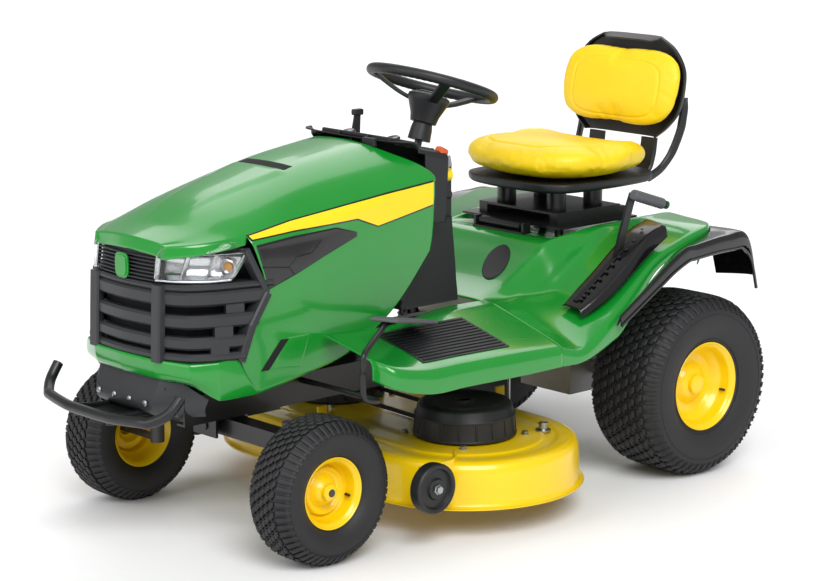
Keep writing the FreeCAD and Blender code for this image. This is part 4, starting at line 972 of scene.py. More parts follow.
@dataclass
class Fenders(Assembly):
    """The fender and footrest moulding with its mats, black extensions and lift-lever bezel."""

    wall: float = 4.0
    plug_spot: tuple[float, float] = (410, 112)
    saddle: tuple[tuple[float, tuple], ...] = (
        (-172, ((300, 520), (302, 540), (262, 546), (235, 548), (205, 548), (180, 540), (0, 540))),
        (-150, ((352, 600), (350, 638), (262, 648), (235, 650), (205, 646), (180, 612), (0, 612))),
        (-60, ((428, 626), (424, 658), (265, 662), (235, 664), (205, 655), (180, 614), (0, 614))),
        (60, ((440, 600), (436, 632), (265, 652), (235, 658), (205, 655), (180, 614), (0, 614))),
        (164, ((446, 560), (440, 592), (265, 624), (235, 648), (205, 652), (180, 614), (0, 614))),
        (300, ((478, 450), (465, 508), (262, 545), (235, 590), (205, 634), (180, 632), (0, 632))),
        (364, ((486, 416), (480, 474), (262, 512), (235, 545), (205, 596), (180, 600), (0, 602))),
        (475, ((503, 388), (498, 420), (262, 506), (235, 512), (205, 534), (180, 538), (0, 540))),
        (560, ((506, 388), (500, 440), (262, 508), (235, 509), (205, 509), (180, 510), (0, 511))),
    )
    steps: tuple[tuple[float, tuple], ...] = (
        (560, ((506, 388), (500, 440), (262, 508), (235, 509), (205, 509))),
        (700, ((507, 388), (500, 446), (262, 508), (235, 509), (205, 509))),
        (880, ((507, 391), (500, 450), (276, 505), (264, 507), (257, 507))),
        (1000, ((507, 392), (500, 452), (276, 504), (266, 506), (258, 506))),
        (1100, ((498, 416), (492, 470), (284, 510), (274, 512), (264, 513))),
        (1136, ((446, 436), (440, 486), (290, 516), (280, 516), (274, 516))),
    )

    def build(self) -> None:
        """Builds the moulding and its trims."""
        bm = bmesh.new()
        skin(bm, surface_of([whole([(x, y, z) for y, z in half]) for x, half in self.saddle], 0.18), 64, 110,
             (0, 0, 1))
        for sign in (1, -1):
            skin(bm, surface_of([[(x, sign * y, z) for y, z in half] for x, half in self.steps], 0.18), 48, 40,
                 (0, 0, 1))
        bmesh.ops.remove_doubles(bm, verts=bm.verts[:], dist=0.0008)
        self.mesh_tree = BVHTree.FromBMesh(bm)
        self.piece("fender_moulding", bm, GREEN, ("fender_deck",), wall=self.wall)
        self.mats()
        self.extensions()
        self.bezel()
        self.plug()

    def over(self, x: float, y: float, rise: float) -> Vector:
        """A point on the moulding's top.

        Args:
            x: Distance forward in millimetres.
            y: Sideways place in millimetres.
            rise: How far above the surface.

        Returns:
            The point in the frame.
        """
        start = place(x, y, 900)
        hit, _, _, _ = self.mesh_tree.ray_cast(start, Vector((0, 0, -1)))
        return (hit or place(x, y, 508)) + Vector((0, 0, rise / 1000))

    def mats(self) -> None:
        """Builds the two ribbed rubber mats that lie on the footrests."""
        bm = bmesh.new()
        for sign in (1, -1):
            skin(bm, lambda u, v, s=sign: self.over(706 + 286 * u, s * (294 + 172 * v), 2.4), 24, 16, (0, 0, 1))
        made = self.piece("foot_mat_sheets", bm, BLACK_TRIM, ("foot_mats",), wall=1.8, edge=0.6)
        ribs = bmesh.new()
        for sign in (1, -1):
            for k in range(12):
                y = sign * (304 + 13.8 * k)
                line = [1000 * (self.over(x, y, 3.4) - place(0, 0, 0)) for x in (714, 850, 984)]
                sweep(ribs, flat_outline(6, 2.4, 0.8), [tuple(p) for p in line], 0.2, 2)
        self.piece("foot_mat_ribs", ribs, BLACK_TRIM)

    def extensions(self) -> None:
        """Builds the black extensions outside the fenders, over the rear tyres."""
        rows = (
            (-186, ((355, 500), (490, 516), (495, 478))),
            (-145, ((358, 628), (495, 632), (501, 592))),
            (-60, ((434, 636), (500, 640), (505, 600))),
            (60, ((445, 612), (503, 632), (508, 594))),
            (120, ((450, 586), (505, 625), (509, 588))),
            (240, ((470, 520), (505, 555), (509, 520))),
            (352, ((491, 455), (505, 488), (509, 456))),
        )
        bm = bmesh.new()
        for sign in (1, -1):
            skin(bm, surface_of([[(x, sign * y, z + 4) for y, z in half] for x, half in rows], 0.2), 56, 24,
                 (0, 0, 1))
            rim = [(x, sign * half[2][0], half[2][1] + 5) for x, half in rows]
            sweep(bm, flat_outline(8, 8, 2), rim, 0.3)
        made = self.piece("fender_extension_mouldings", bm, BLACK_GLOSS, ("fender_extensions",), wall=3, edge=1)

    def bezel(self) -> None:
        """Builds the gated bezel that the lift lever moves in."""
        rows = (
            (100, ((432, 648), (424, 678), (352, 686), (344, 664))),
            (164, ((432, 612), (424, 658), (352, 666), (344, 632))),
            (230, ((438, 574), (428, 612), (354, 622), (346, 596))),
            (300, ((440, 530), (430, 564), (354, 572), (346, 549))),
            (364, ((436, 498), (428, 524), (356, 532), (348, 510))),
            (412, ((426, 476), (420, 496), (364, 502), (358, 498))),
        )
        bm = bmesh.new()
        skin(bm, surface_of([[(x, y, z + 1) for y, z in half] for x, half in rows], 0.2), 48, 28, (0, 0, 1))
        self.piece("lift_bezel_moulding", bm, BLACK_GLOSS, ("lift_bezel",), wall=2.5)
        slot = bmesh.new()
        line = [(150, 386, 669), (230, 386, 621), (300, 386, 573), (364, 386, 532), (396, 386, 513)]
        sweep(slot, flat_outline(15, 3, 1), line, 0.3, 6)
        self.piece("lift_bezel_slot", slot, DARK_HOLE)
        teeth = bmesh.new()
        for k in range(11):
            spot = spline([place(*p) for p in line], 0.06 + 0.085 * k)
            x, y, z = 1000 * (spot - place(0, 0, 0))
            block(teeth, (x, y + 13, z + 1.5), (9, 9, 4), Matrix.Rotation(math.radians(32), 4, "Y"), 1.2)
        self.piece("lift_bezel_teeth", teeth, BLACK_TRIM)

    def plug(self) -> None:
        """Builds the dark oval plug on the tunnel's sloping front, below the seat."""
        bm = bmesh.new()

        def laid(u: float, v: float) -> Vector:
            """Maps a square to a disc and lays it on the tunnel, stretched along the slope.

            Args:
                u: The share along the plug.
                v: The share across it.

            Returns:
                The point, a little proud of the tunnel.
            """
            a, b = 2 * u - 1, 2 * v - 1
            long, wide = a * math.sqrt(1 - b * b / 2), b * math.sqrt(1 - a * a / 2)
            x, y = self.plug_spot
            return self.over(x + 58 * long - 9 * wide, y + 33 * long + 36 * wide, 2.5)

        skin(bm, laid, 12, 12, (0, 0, 1))
        self.piece("tunnel_plug", bm, BLACK_TRIM, wall=2)


@dataclass
class Dash(Assembly):
    """The dash housing with its ridged top, the shroud below the wheel and the tower that carries them."""

    wall: float = 4.0

    def build(self) -> None:
        """Builds the housing, the tower and the small fittings on the dash."""
        profile = [(676, 727), (672, 820), (668, 903), (690, 909), (765, 926), (842, 943)]
        bm = bmesh.new()
        rows = []
        for y in (-205, -196, -150, 0, 150, 196, 205):
            drop = 16 if abs(y) > 200 else (4 if abs(y) > 190 else 0)
            cut = max(0, (abs(y) - 136) / 86 * 100) if abs(y) > 136 else 0
            rows.append([(min(x, 842 - cut + 4), y, z - drop * (z > 890)) for x, z in profile])
        skin(bm, surface_of(rows, 0.12), 48, 48, (-1, 0, 1))
        for sign in (1, -1):
            side = [[(676, sign * 205, 727), (668, sign * 205, 887), (690, sign * 205, 893), (745, sign * 205, 907)],
                    [(676, sign * 205, 727), (700, sign * 205, 727), (720, sign * 205, 727), (745, sign * 205, 735)]]
            skin(bm, surface_of(side), 12, 16, (0, sign, 0))
        self.piece("dash_moulding", bm, BLACK_TRIM, ("dash_housing",), wall=self.wall)
        bm = bmesh.new()
        levels = []
        for z, grow in ((727, 0), (800, 0), (862, 0), (872, -6)):
            levels.append(whole([(680, 150 + grow, z), (606 - grow, 150 + grow, z), (556 - grow, 84 + grow, z),
                                 (556 - grow, 0, z)]))
        skin(bm, surface_of(levels, 0.12), 16, 64, (-1, 0, 0))
        cap = [whole([(680, 144, 872), (612, 144, 872), (562, 78, 872), (562, 0, 872)]),
               whole([(690, 100, 884), (640, 90, 884), (600, 50, 884), (600, 0, 884)])]
        skin(bm, surface_of(cap, 0.12), 8, 64, (0, 0, 1))
        self.piece("dash_shroud", bm, BLACK_TRIM, wall=3)
        bm = bmesh.new()
        low, top = [(798, 172), (604, 172), (566, 96), (566, 0)], [(798, 152), (606, 150), (558, 84), (558, 0)]
        rows = [whole([(x, y, 512.5) for x, y in low]), whole([(x, y, 726) for x, y in top])]
        skin(bm, surface_of(rows, 0.1), 16, 72, (-1, 0, 0))
        skin(bm, surface_of([[(798, 172, 512.5), (798, -172, 512.5)], [(798, 152, 726), (798, -152, 726)]]), 8, 16,
             (1, 0, 0))
        bmesh.ops.remove_doubles(bm, verts=bm.verts[:], dist=0.001)
        self.piece("dash_tower_moulding", bm, BLACK_TRIM, ("dash_tower",), wall=self.wall)
        self.fittings()

    def fittings(self) -> None:
        """Builds the ribs on the dash's top, its instrument pods and the coloured levers."""
        bm = bmesh.new()
        for sign in (1, -1):
            for k in range(3):
                y = sign * (150 + 16 * k)
                sweep(bm, flat_outline(8, 5, 1.5), [(700, y, 911), (800 - 20 * k, y, 930 - 6 * k)])
            block(bm, (752, sign * 96, 927), (96, 70, 14), Matrix.Rotation(math.radians(-13), 4, "Y"), 4)
        block(bm, (760, 0, 930), (84, 96, 12), Matrix.Rotation(math.radians(-13), 4, "Y"), 4)
        block(bm, (838, 100, 934), (14, 44, 22), None, 3)
        self.piece("dash_pods", bm, BLACK_TRIM)
        bm = bmesh.new()
        lathe(bm, [(0, 0), (18, 0), (19, 3), (16, 7), (0, 8)], (756, -74, 931), (0.2, 0, 1), 32)
        lathe(bm, [(0, 0), (18, 0), (19, 3), (16, 7), (0, 8)], (756, 96, 931), (0.2, 0, 1), 32)
        self.piece("dash_gauges", bm, BLACK_GLOSS, edge=0.5)
        bm = bmesh.new()
        sweep(bm, flat_outline(22, 26, 5), [(664, 186, 895), (690, 190, 906)])
        self.piece("dash_hour_lever", bm, ORANGE, edge=1)
        bm = bmesh.new()
        sweep(bm, flat_outline(7, 34, 3), [(661, 192, 862), (667, 192, 888)], up=(1, 0, 0))
        self.piece("dash_side_plate", bm, CAST_ALLOY, edge=0.8)


@dataclass
class SteeringWheel(Assembly):
    """The rimmed steering wheel with finger ripples, three spokes and a padded hub."""

    body: str = "steering"
    centre: Point = (534, 0, 1045)
    lean: float = 18.5
    ring: float = 161.0
    grip: float = 14.0

    def local(self, bm: bmesh.types.BMesh) -> None:
        """Moves a mesh built about the origin, in metres, to the leaning wheel's place."""
        turn = Matrix.Rotation(math.radians(-self.lean), 4, "Y")
        bmesh.ops.transform(bm, matrix=Matrix.Translation(place(*self.centre)) @ turn, verts=bm.verts[:])

    def build(self) -> None:
        """Builds the rim, the spokes and the hub."""
        bm = bmesh.new()
        ring = bmesh.ops.create_circle(bm, segments=20, radius=self.grip / 1000, matrix=Matrix.Rotation(
            math.pi / 2, 4, "X"))["verts"]
        bmesh.ops.translate(bm, verts=ring, vec=(self.ring / 1000, 0, 0))
        edges = list({e for v in ring for e in v.link_edges})
        bmesh.ops.spin(bm, geom=ring + edges, cent=(0, 0, 0), axis=(0, 0, 1), angle=math.tau, steps=180,
                       use_merge=True)
        for vert in bm.verts:
            angle = math.atan2(vert.co.y, vert.co.x)
            out = Vector((math.cos(angle), math.sin(angle), 0)) * self.ring / 1000
            arm = vert.co - out
            under = max(0.0, -arm.z / (self.grip / 1000))
            vert.co = out + arm * (1 - 0.07 * under * (0.5 + 0.5 * math.cos(60 * angle)) - 0.012)
        bmesh.ops.recalc_face_normals(bm, faces=bm.faces[:])
        self.local(bm)
        made = self.piece("steering_rim", bm, BLACK_TRIM, ("steering_wheel",))
        bm = bmesh.new()
        shift = place(0, 0, 0)
        for turn in (180, 300, 60):
            a = math.radians(turn)
            spots = [Vector((math.cos(a) * r, math.sin(a) * r, z)) for r, z in ((34, -50), (70, -42), (118, -22),
                                                                                (152, -5))]
            sweep(bm, flat_outline(30, 11, 4), [tuple(p) for p in spots], 0.3, 5, up=(0, 0, 1))
        lathe(bm, [(0, -104), (34, -104), (38, -84), (52, -50), (55, -44), (54, -34), (46, -29), (30, -27), (0, -26)],
              (0, 0, 0), (0, 0, 1), 48)
        bmesh.ops.translate(bm, verts=bm.verts[:], vec=-shift)
        self.local(bm)
        self.piece("steering_hub", bm, BLACK_TRIM, edge=1)
        bm = bmesh.new()
        lathe(bm, [(0, -30), (34, -28), (36, -25), (30, -23), (0, -22)], (0, 0, 0), (0, 0, 1), 48)
        bmesh.ops.translate(bm, verts=bm.verts[:], vec=-shift)
        self.local(bm)
        self.piece("steering_cap", bm, BLACK_GLOSS, edge=0.6)
        bm = bmesh.new()
        lathe(bm, [(11, -150), (30, -150), (28, -120), (24, -100), (11, -100)], (0, 0, 0), (0, 0, 1), 40)
        bmesh.ops.translate(bm, verts=bm.verts[:], vec=-shift)
        self.local(bm)
        self.piece("steering_boot", bm, BLACK_TRIM, edge=1)


# ---------------------------------------------------------------- seat


@dataclass
class Seat(Assembly):
    """The vinyl cushions, simulated as stuffed covers, on their moulded pan and back shell."""

    body: str = "seat"
    voxel: float = 6.0
    pressure: float = 4.0
    cap: float = 24.0

    def build(self) -> None:
        """Builds the pan, the back shell and both cushions."""
        self.pan()
        self.back_shell()
        base = self.bun((71, 0, 818), (231, 233, 41), 2.7, self.saddle_dip)
        self.cushion("seat_cushion_cover", base, "seat_cushion", self.seat_seam)
        back = self.bun((-177, 0, 984), (23, 213, 108), 3.4, self.lean_back)
        self.cushion("back_cushion_cover", back, "back_cushion", self.back_seam)

    @staticmethod
    def saddle_dip(p: Vector) -> Vector:
        """Raises the thighs' end, sinks the sitting area and lifts the rear corners.

        Args:
            p: A point from the cushion's middle, in millimetres.

        Returns:
            The moved point.
        """
        x, y, z = p
        if z > 0:
            sit = max(0.0, 1 - ((x + 90) / 150) ** 2) * max(0.0, 1 - (y / 170) ** 2)
            z += 9 * math.exp(-((x - 120) / 70) ** 2) - 26 * sit - 14 * max(0.0, (-x - 120) / 110)
            z += 14 * max(0.0, (abs(y) - 120) / 110) * max(0.0, min(1.0, (60 - x) / 120))
        y *= 1 - 0.16 * max(0.0, -x / 231) ** 2 - 0.1 * max(0.0, x / 231) ** 3
        return Vector((x, y, z))

    @staticmethod
    def lean_back(p: Vector) -> Vector:
        """Leans the pad back with the shell and wraps its sides forward a little.

        Args:
            p: A point from the pad's middle, in millimetres.

        Returns:
            The moved point.
        """
        x, y, z = p
        return Vector((x - 0.23 * z + 5 * (y / 213) ** 2, y * (1 - 0.05 * max(0.0, -z / 108)), z))

    def bun(self, centre: Point, half: Point, power: float, bend: Callable[[Vector], Vector]) -> bmesh.types.BMesh:
        """Starts a cushion as a rounded block of subdivided faces.

        Args:
            centre: Its middle in millimetres.
            half: Its half sizes in millimetres.
            power: How square its outline is.
            bend: Shapes each point, given from its middle in millimetres.

        Returns:
            The mesh.
        """
        bm = bmesh.new()
        bmesh.ops.create_cube(bm, size=2.0)
        bmesh.ops.subdivide_edges(bm, edges=bm.edges[:], cuts=14, use_grid_fill=True)
        for vert in bm.verts:
            x, y, z = vert.co
            size = (abs(x) ** power + abs(y) ** power + abs(z) ** power) ** (1 / power)
            spot = bend(Vector((x / size * half[0], y / size * half[1], z / size * half[2])))
            vert.co = place(*(Vector(centre) + spot))
        return bm

    def cushion(self, name: str, bm: bmesh.types.BMesh, node: str, seam: Callable[[Vector], float]) -> None:
        """Swells a cover like stuffed vinyl, then sinks its sewn line, and dresses it.

        Args:
            name: The piece's name.
            bm: The starting mesh, which is used up.
            node: The CAD node it stands for.
            seam: Gives the depth of the sewn line at a point, in millimetres.
        """
        mesh = bpy.data.meshes.new(name)
        bm.to_mesh(mesh)
        bm.free()
        cover = bpy.data.objects.new(name, mesh)
        bpy.context.scene.collection.objects.link(cover)
        remesh = cover.modifiers.new("remesh", "REMESH")
        remesh.mode, remesh.voxel_size, remesh.use_smooth_shade = "VOXEL", self.voxel / 1000, True
        self.bake(cover)
        rest = [v.co.copy() for v in cover.data.vertices]
        cloth = cover.modifiers.new("cloth", "CLOTH")
        cloth.settings.use_pressure = True
        cloth.settings.uniform_pressure_force = self.pressure
        cloth.settings.effector_weights.gravity = 0
        cloth.point_cache.frame_start, cloth.point_cache.frame_end = 1, 20
        for step in range(1, 21):
            bpy.context.scene.frame_set(step)
        self.bake(cover)
        bpy.context.scene.frame_set(1)
        for vert, home in zip(cover.data.vertices, rest):
            move = (vert.co - home) * 0.35
            far = self.cap / 1000
            vert.co = home + (move if move.length <= far else move * (far / move.length))
        shaped = bmesh.new()
        shaped.from_mesh(cover.data)
        bmesh.ops.smooth_vert(shaped, verts=shaped.verts[:], factor=0.5, use_axis_x=True, use_axis_y=True,
                              use_axis_z=True)
        bmesh.ops.subdivide_edges(shaped, edges=shaped.edges[:], cuts=1, use_grid_fill=True, smooth=0.5)
        shaped.normal_update()
        zero = place(0, 0, 0)
        moves = [(v, v.normal * (-seam(1000 * (v.co - zero)) / 1000)) for v in shaped.verts]
        for vert, move in moves:
            vert.co += move
        bpy.data.objects.remove(cover)
        made = self.piece(name, shaped, VINYL, (node,))

    @staticmethod
    def bake(obj: bpy.types.Object) -> None:
        """Applies an object's modifiers to its mesh."""
        graph = bpy.context.evaluated_depsgraph_get()
        mesh = bpy.data.meshes.new_from_object(obj.evaluated_get(graph))
        obj.modifiers.clear()
        obj.data = mesh

    @staticmethod
    def seat_seam(p: Vector) -> float:
        """The depth of the sewn panel line on the seat's top, in millimetres."""
        if p.z < 820:
            return 0.0
        x, y = (p.x - 75) / 172, p.y / 160
        ring = (abs(x) ** 3 + abs(y) ** 3) ** (1 / 3)
        return 2.4 * math.exp(-((ring - 1) / 0.022) ** 2)

    @staticmethod
    def back_seam(p: Vector) -> float:
        """The depth of the sewn line round the back cushion's panel, in millimetres."""
        y, z = p.y / 158, (p.z - 980) / 78
        ring = (abs(y) ** 4 + abs(z) ** 4) ** (1 / 4)
        return 2.4 * math.exp(-((ring - 1) / 0.022) ** 2)

    def pan(self) -> None:
        """Builds the moulded pan under the seat cushion, and the uprights and arms behind it."""
        outline = [(276, 70), (264, 140), (222, 192), (60, 206), (-104, 194), (-146, 134)]
        bm = bmesh.new()
        levels = []
        for z, grow in ((743, -30), (742, -14), (748, -2), (762, 0), (768, -3), (766, -12)):
            ring = [(x + (grow if x > 0 else -grow), y + grow, z) for x, y in outline]
            front, rear = (278 + grow, 0, z), (-149 - grow, 0, z)
            levels.append([front, *ring, rear, *((x, -y, z) for x, y, _ in reversed(ring)), front])
        skin(bm, surface_of(levels, 0.2), 24, 120, (0, 0, -1))
        bmesh.ops.remove_doubles(bm, verts=bm.verts[:], dist=0.0005)
        bmesh.ops.holes_fill(bm, edges=[e for e in bm.edges if e.is_boundary], sides=0)
        bmesh.ops.recalc_face_normals(bm, faces=bm.faces[:])
        self.piece("seat_pan_moulding", bm, BLACK_TRIM, ("seat_shell",))
        bm = bmesh.new()
        for sign in (1, -1):
            path = [(-120, sign * 98, 749), (-162, sign * 98, 752), (-182, sign * 98, 790), (-190, sign * 98, 846)]
            sweep(bm, flat_outline(56, 14, 4), path, 0.3, 8, up=(1, 0, 0))
            arm = [(-100, sign * 178, 752), (-172, sign * 172, 776), (-214, sign * 184, 850), (-226, sign * 190, 920),
                   (-228, sign * 190, 960)]
            sweep(bm, flat_outline(14, 24, 5), arm, 0.3, 8)
        self.piece("seat_uprights", bm, BLACK_TRIM, edge=1)

    def back_shell(self) -> None:
        """Builds the moulded shell that wraps the back cushion, with its top lip."""
        bm = bmesh.new()
        rows = []
        for z, y, x in ((848, 132, -196), (880, 172, -203), (926, 203, -213), (985, 209, -225), (1040, 201, -233),
                        (1090, 160, -240), (1119, 106, -242)):
            rows.append(whole([(x + 24, y, z), (x + 6, y - 6, z), (x, y * 0.6, z), (x, 0, z)]))
        skin(bm, surface_of(rows, 0.2), 44, 56, (-1, 0, 0))
        lip = [whole([(-218, 106, 1118), (-234, 100, 1120), (-240, 66, 1121), (-240, 0, 1121)]),
               whole([(-206, 90, 1106), (-202, 84, 1109), (-202, 58, 1111), (-202, 0, 1111)])]
        skin(bm, surface_of(lip, 0.2), 8, 56, (0, 0, 1))
        self.piece("back_shell_moulding", bm, BLACK_TRIM, wall=5, edge=1)


# ---------------------------------------------------------------- mower deck


@dataclass
class MowerDeck(Assembly):
    """The stamped two-spindle deck with covers, wheels, nozzle and discharge chute."""

    body: str = "mower_deck"
    spindles: tuple[Point, Point] = ((680, 280, 0), (650, -256, 0))
    radius: float = 290.0

    def outline(self, t: float, radius: float) -> tuple[float, float]:
        """A point in plan on the curve round both spindles.

        Args:
            t: The share of the way round.
            radius: The curve's radius round each spindle.

        Returns:
            Forward distance and sideways place in millimetres.
        """
        (ax, ay, _), (bx, by, _) = self.spindles
        away = Vector((ax - bx, ay - by))
        arc, run = math.pi * max(radius, 1), away.length
        way = away.normalized()
        side = Vector((way.y, -way.x))
        left = (t % 1.0) * 2 * (arc + run)
        if left < arc:
            a = left / max(radius, 1)
            spot = Vector((ax, ay)) + (side * math.cos(a) + way * math.sin(a)) * radius
        elif left < arc + run:
            spot = Vector((ax, ay)) - side * radius - way * (left - arc)
        elif left < 2 * arc + run:
            a = (left - arc - run) / max(radius, 1)
            spot = Vector((bx, by)) + (-side * math.cos(a) - way * math.sin(a)) * radius
        else:
            spot = Vector((bx, by)) + side * radius + way * (left - 2 * arc - run)
        return spot.x, spot.y

    def build(self) -> None:
        """Builds the deck shell and everything that stands on it."""
        profile = [(298, 82), (301.5, 80), (301.5, 84), (293, 88), (290, 96), (289, 150), (287, 176), (281, 189),
                   (268, 195), (240, 195), (228, 190), (205, 190), (196, 195), (150, 195), (60, 195), (8, 195)]
        bm = bmesh.new()

        def shell(u: float, v: float) -> Vector:
            """A point on the pressing.

            Args:
                u: The share along the profile, from the lip to the middle.
                v: The share of the way round.

            Returns:
                The point in the frame.
            """
            k = u * (len(profile) - 1)
            low = min(int(k), len(profile) - 2)
            (ra, za), (rb, zb) = profile[low], profile[low + 1]
            s = k - low
            x, y = self.outline(v, ra + (rb - ra) * s)
            return place(x, y, za + (zb - za) * s)

        skin(bm, shell, 3 * (len(profile) - 1), 200, (0, 0, 1))
        bmesh.ops.remove_doubles(bm, verts=bm.verts[:], dist=0.0003)
        mouth = [f for f in bm.faces if abs(1000 * (f.calc_center_median().x - place(650, 0, 0).x)) < 104
                 and f.calc_center_median().y < -0.45 and f.calc_center_median().z < 0.172]
        bmesh.ops.delete(bm, geom=mouth, context="FACES")
        self.piece("deck_pressing", bm, YELLOW_PAINT, ("deck_shell",), wall=3.5)
        self.brackets()
        self.covers()
        for side, sign, shift in (("left", 1, 0), ("right", -1, -30)):
            self.gauge_wheel(side, sign, shift)
        self.deflector()

    def brackets(self) -> None:
        """Builds the wheel brackets, hanger tabs, hinge ears, wash nozzle and bolt heads."""
        bm = bmesh.new()
        for sign, shift, y in ((1, 0, 463.5), (-1, -30, -445.5)):
            block(bm, (940 + shift, y, 158), (96, 5, 92), None, 1.5)
            sweep(bm, flat_outline(5, 92, 1), [(893 + shift, y, 158), (860 + shift, y - sign * 24, 158),
                                               (832 + shift, y - sign * 60, 158)], 0.2, 4)
            sweep(bm, flat_outline(40, 4, 1), [(985 + shift, y, 204), (985 + shift, y + sign * 6, 204)])
        for x, y in ((435, 154), (435, -154), (915, 0)):
            block(bm, (x, y, 224), (30, 7, 62), None, 2)
        for x in (538, 762):
            block(bm, (x, -566, 187), (12, 60, 20), None, 2)
        self.piece("deck_brackets", bm, YELLOW_PAINT)
        bm = bmesh.new()
        lathe(bm, [(0, 194), (20, 194), (20, 199), (11, 201), (11, 212), (12.5, 213), (12.5, 217), (6, 217), (6, 204),
                   (0, 204)], (515, 395, 0), (0, 0, 1), 32)
        for sx, sy, _ in self.spindles:
            for k in range(4):
                a = math.pi / 4 + k * math.pi / 2
                lathe(bm, [(0, 194), (11, 194), (11, 197), (9, 198), (9, 203), (0, 204)],
                      (sx + 152 * math.cos(a), sy + 152 * math.sin(a), 0), (0, 0, 1), 6)
        sweep(bm, round_outline(5, 10), [(538, -560, 189), (762, -560, 189)])
        self.piece("deck_hardware", bm, BRIGHT_STEEL, edge=0.6)

    def covers(self) -> None:
        """Builds the ribbed drum covers over the spindle pulleys."""
        bm = bmesh.new()
        for x, y, _ in self.spindles:
            lathe(bm, [(131, 198), (132, 204), (128, 206), (125, 246), (128, 248), (128, 254), (123, 256), (121, 272),
                       (114, 281), (104, 284), (86, 284), (80, 279), (30, 279), (26, 283), (14, 284), (14, 280),
                       (27, 276), (80, 275), (88, 280), (102, 280), (112, 277), (117, 270), (119, 254), (121, 204),
                       (126, 200)], (x, y, 0), (0, 0, 1), 72)
            for k in range(18):
                a = math.tau * k / 18
                c, s = math.cos(a), math.sin(a)
                sweep(bm, flat_outline(5, 7, 1.5), [(x + 127 * c, y + 127 * s, 208), (x + 124 * c, y + 124 * s, 246)],
                      up=(c, s, 0))
        self.piece("spindle_drum_covers", bm, BLACK_TRIM, ("spindle_covers",))

    def gauge_wheel(self, side: str, sign: int, shift: float) -> None:
        """Builds one anti-scalp wheel with its hub and bolt.

        Args:
            side: The side's name.
            sign: 1 for left and -1 for right.
            shift: How far forward it stands of the left one.
        """
        y = 492 if sign > 0 else -474
        bm = bmesh.new()
        lathe(bm, [(8.2, -17), (24, -17), (27, -9), (46, -7), (50, -15), (57, -17), (61, -14), (62, -9), (62, 9),
                   (61, 14), (57, 17), (50, 15), (46, 7), (27, 9), (24, 17), (8.2, 17)],
              (985 + shift, y, 156), (0, sign, 0), 64)
        rider = Assembly(body=f"gauge_wheel_{side}")
        made = rider.piece(f"gauge_wheel_moulding_{side}", bm, BLACK_TRIM, (f"gauge_wheel_{side}",), edge=0.8)
        bm = bmesh.new()
        lathe(bm, [(0, 17.5), (13, 17.5), (13, 20), (10, 21), (10, 27), (0, 28)], (985 + shift, y, 156), (0, sign, 0),
              6)
        self.piece(f"gauge_wheel_bolt_{side}", bm, BRIGHT_STEEL, edge=0.6)

    def deflector(self) -> None:
        """Builds the hinged discharge deflector with its ribs."""
        bm = bmesh.new()
        path = [(-560, 194), (-572, 192), (-588, 160), (-593, 101)]
        skin(bm, surface_of([[(x, y, z) for y, z in path] for x in (552, 600, 700, 748)], 0.2), 16, 24, (0, -1, 0.3))
        rider = Assembly(body="deflector")
        made = rider.piece("deflector_flap", bm, BLACK_TRIM, ("discharge_deflector",), wall=3)
        bm = bmesh.new()
        for x in (576, 613, 650, 687, 724):
            sweep(bm, flat_outline(4, 4, 1), [(x, -575, 188), (x, -589.5, 160), (x, -594, 106)], 0.2, 4, up=(1, 0, 0))
        for x in (590, 710):
            lathe(bm, [(5.5, -30), (9, -30), (9, 30), (5.5, 30)], (x, -560, 189), (1, 0, 0), 24)
        rider.piece("deflector_ribs", bm, BLACK_TRIM, edge=0.5)


# ---------------------------------------------------------------- front, pedals and small controls


@dataclass
class FrontGuard(Assembly):
    """The tubular bumper and the dark skirt under the chin."""

    def build(self) -> None:
        """Builds the tube, its end plugs, the mounting arms and the skirt."""
        bm = bmesh.new()
        path = [(1545, 245, 425), (1590, 232, 372), (1626, 152, 366), (1632, 0, 360), (1626, -152, 366),
                (1590, -232, 372), (1545, -245, 425)]
        sweep(bm, round_outline(13, 20), path, 0.34, 8)
        for sign in (1, -1):
            sweep(bm, flat_outline(10, 30, 3), [(1492, sign * 65, 347), (1560, sign * 65, 347),
                                                (1624, sign * 65, 356)], 0.2, 4)
        sweep(bm, flat_outline(150, 5, 1), [(1500, 0, 350), (1618, 0, 352)])
        self.piece("bumper_tube", bm, FRAME_PAINT, ("bumper",), edge=0.8)
        bm = bmesh.new()
        rows = [whole([(1434, 206, 396), (1476, 168, 433), (1508, 120, 441), (1518, 0, 442)]),
                whole([(1440, 200, 372), (1490, 158, 372), (1530, 110, 374), (1538, 0, 376)]),
                whole([(1430, 190, 352), (1478, 150, 350), (1506, 100, 350), (1512, 0, 350)])]
        skin(bm, surface_of(rows, 0.1), 12, 48, (1, 0, 0))
        self.piece("nose_skirt", bm, CHARCOAL, wall=4, edge=1)
        bm = bmesh.new()
        for y in (-92, -30, 30, 92):
            lathe(bm, [(0, 0), (8, 0), (8, 4), (5, 6), (0, 6)], (1532, y, 384), (1, 0, 0.2), 6)
        self.piece("nose_bolts", bm, BRIGHT_STEEL, edge=0.5)


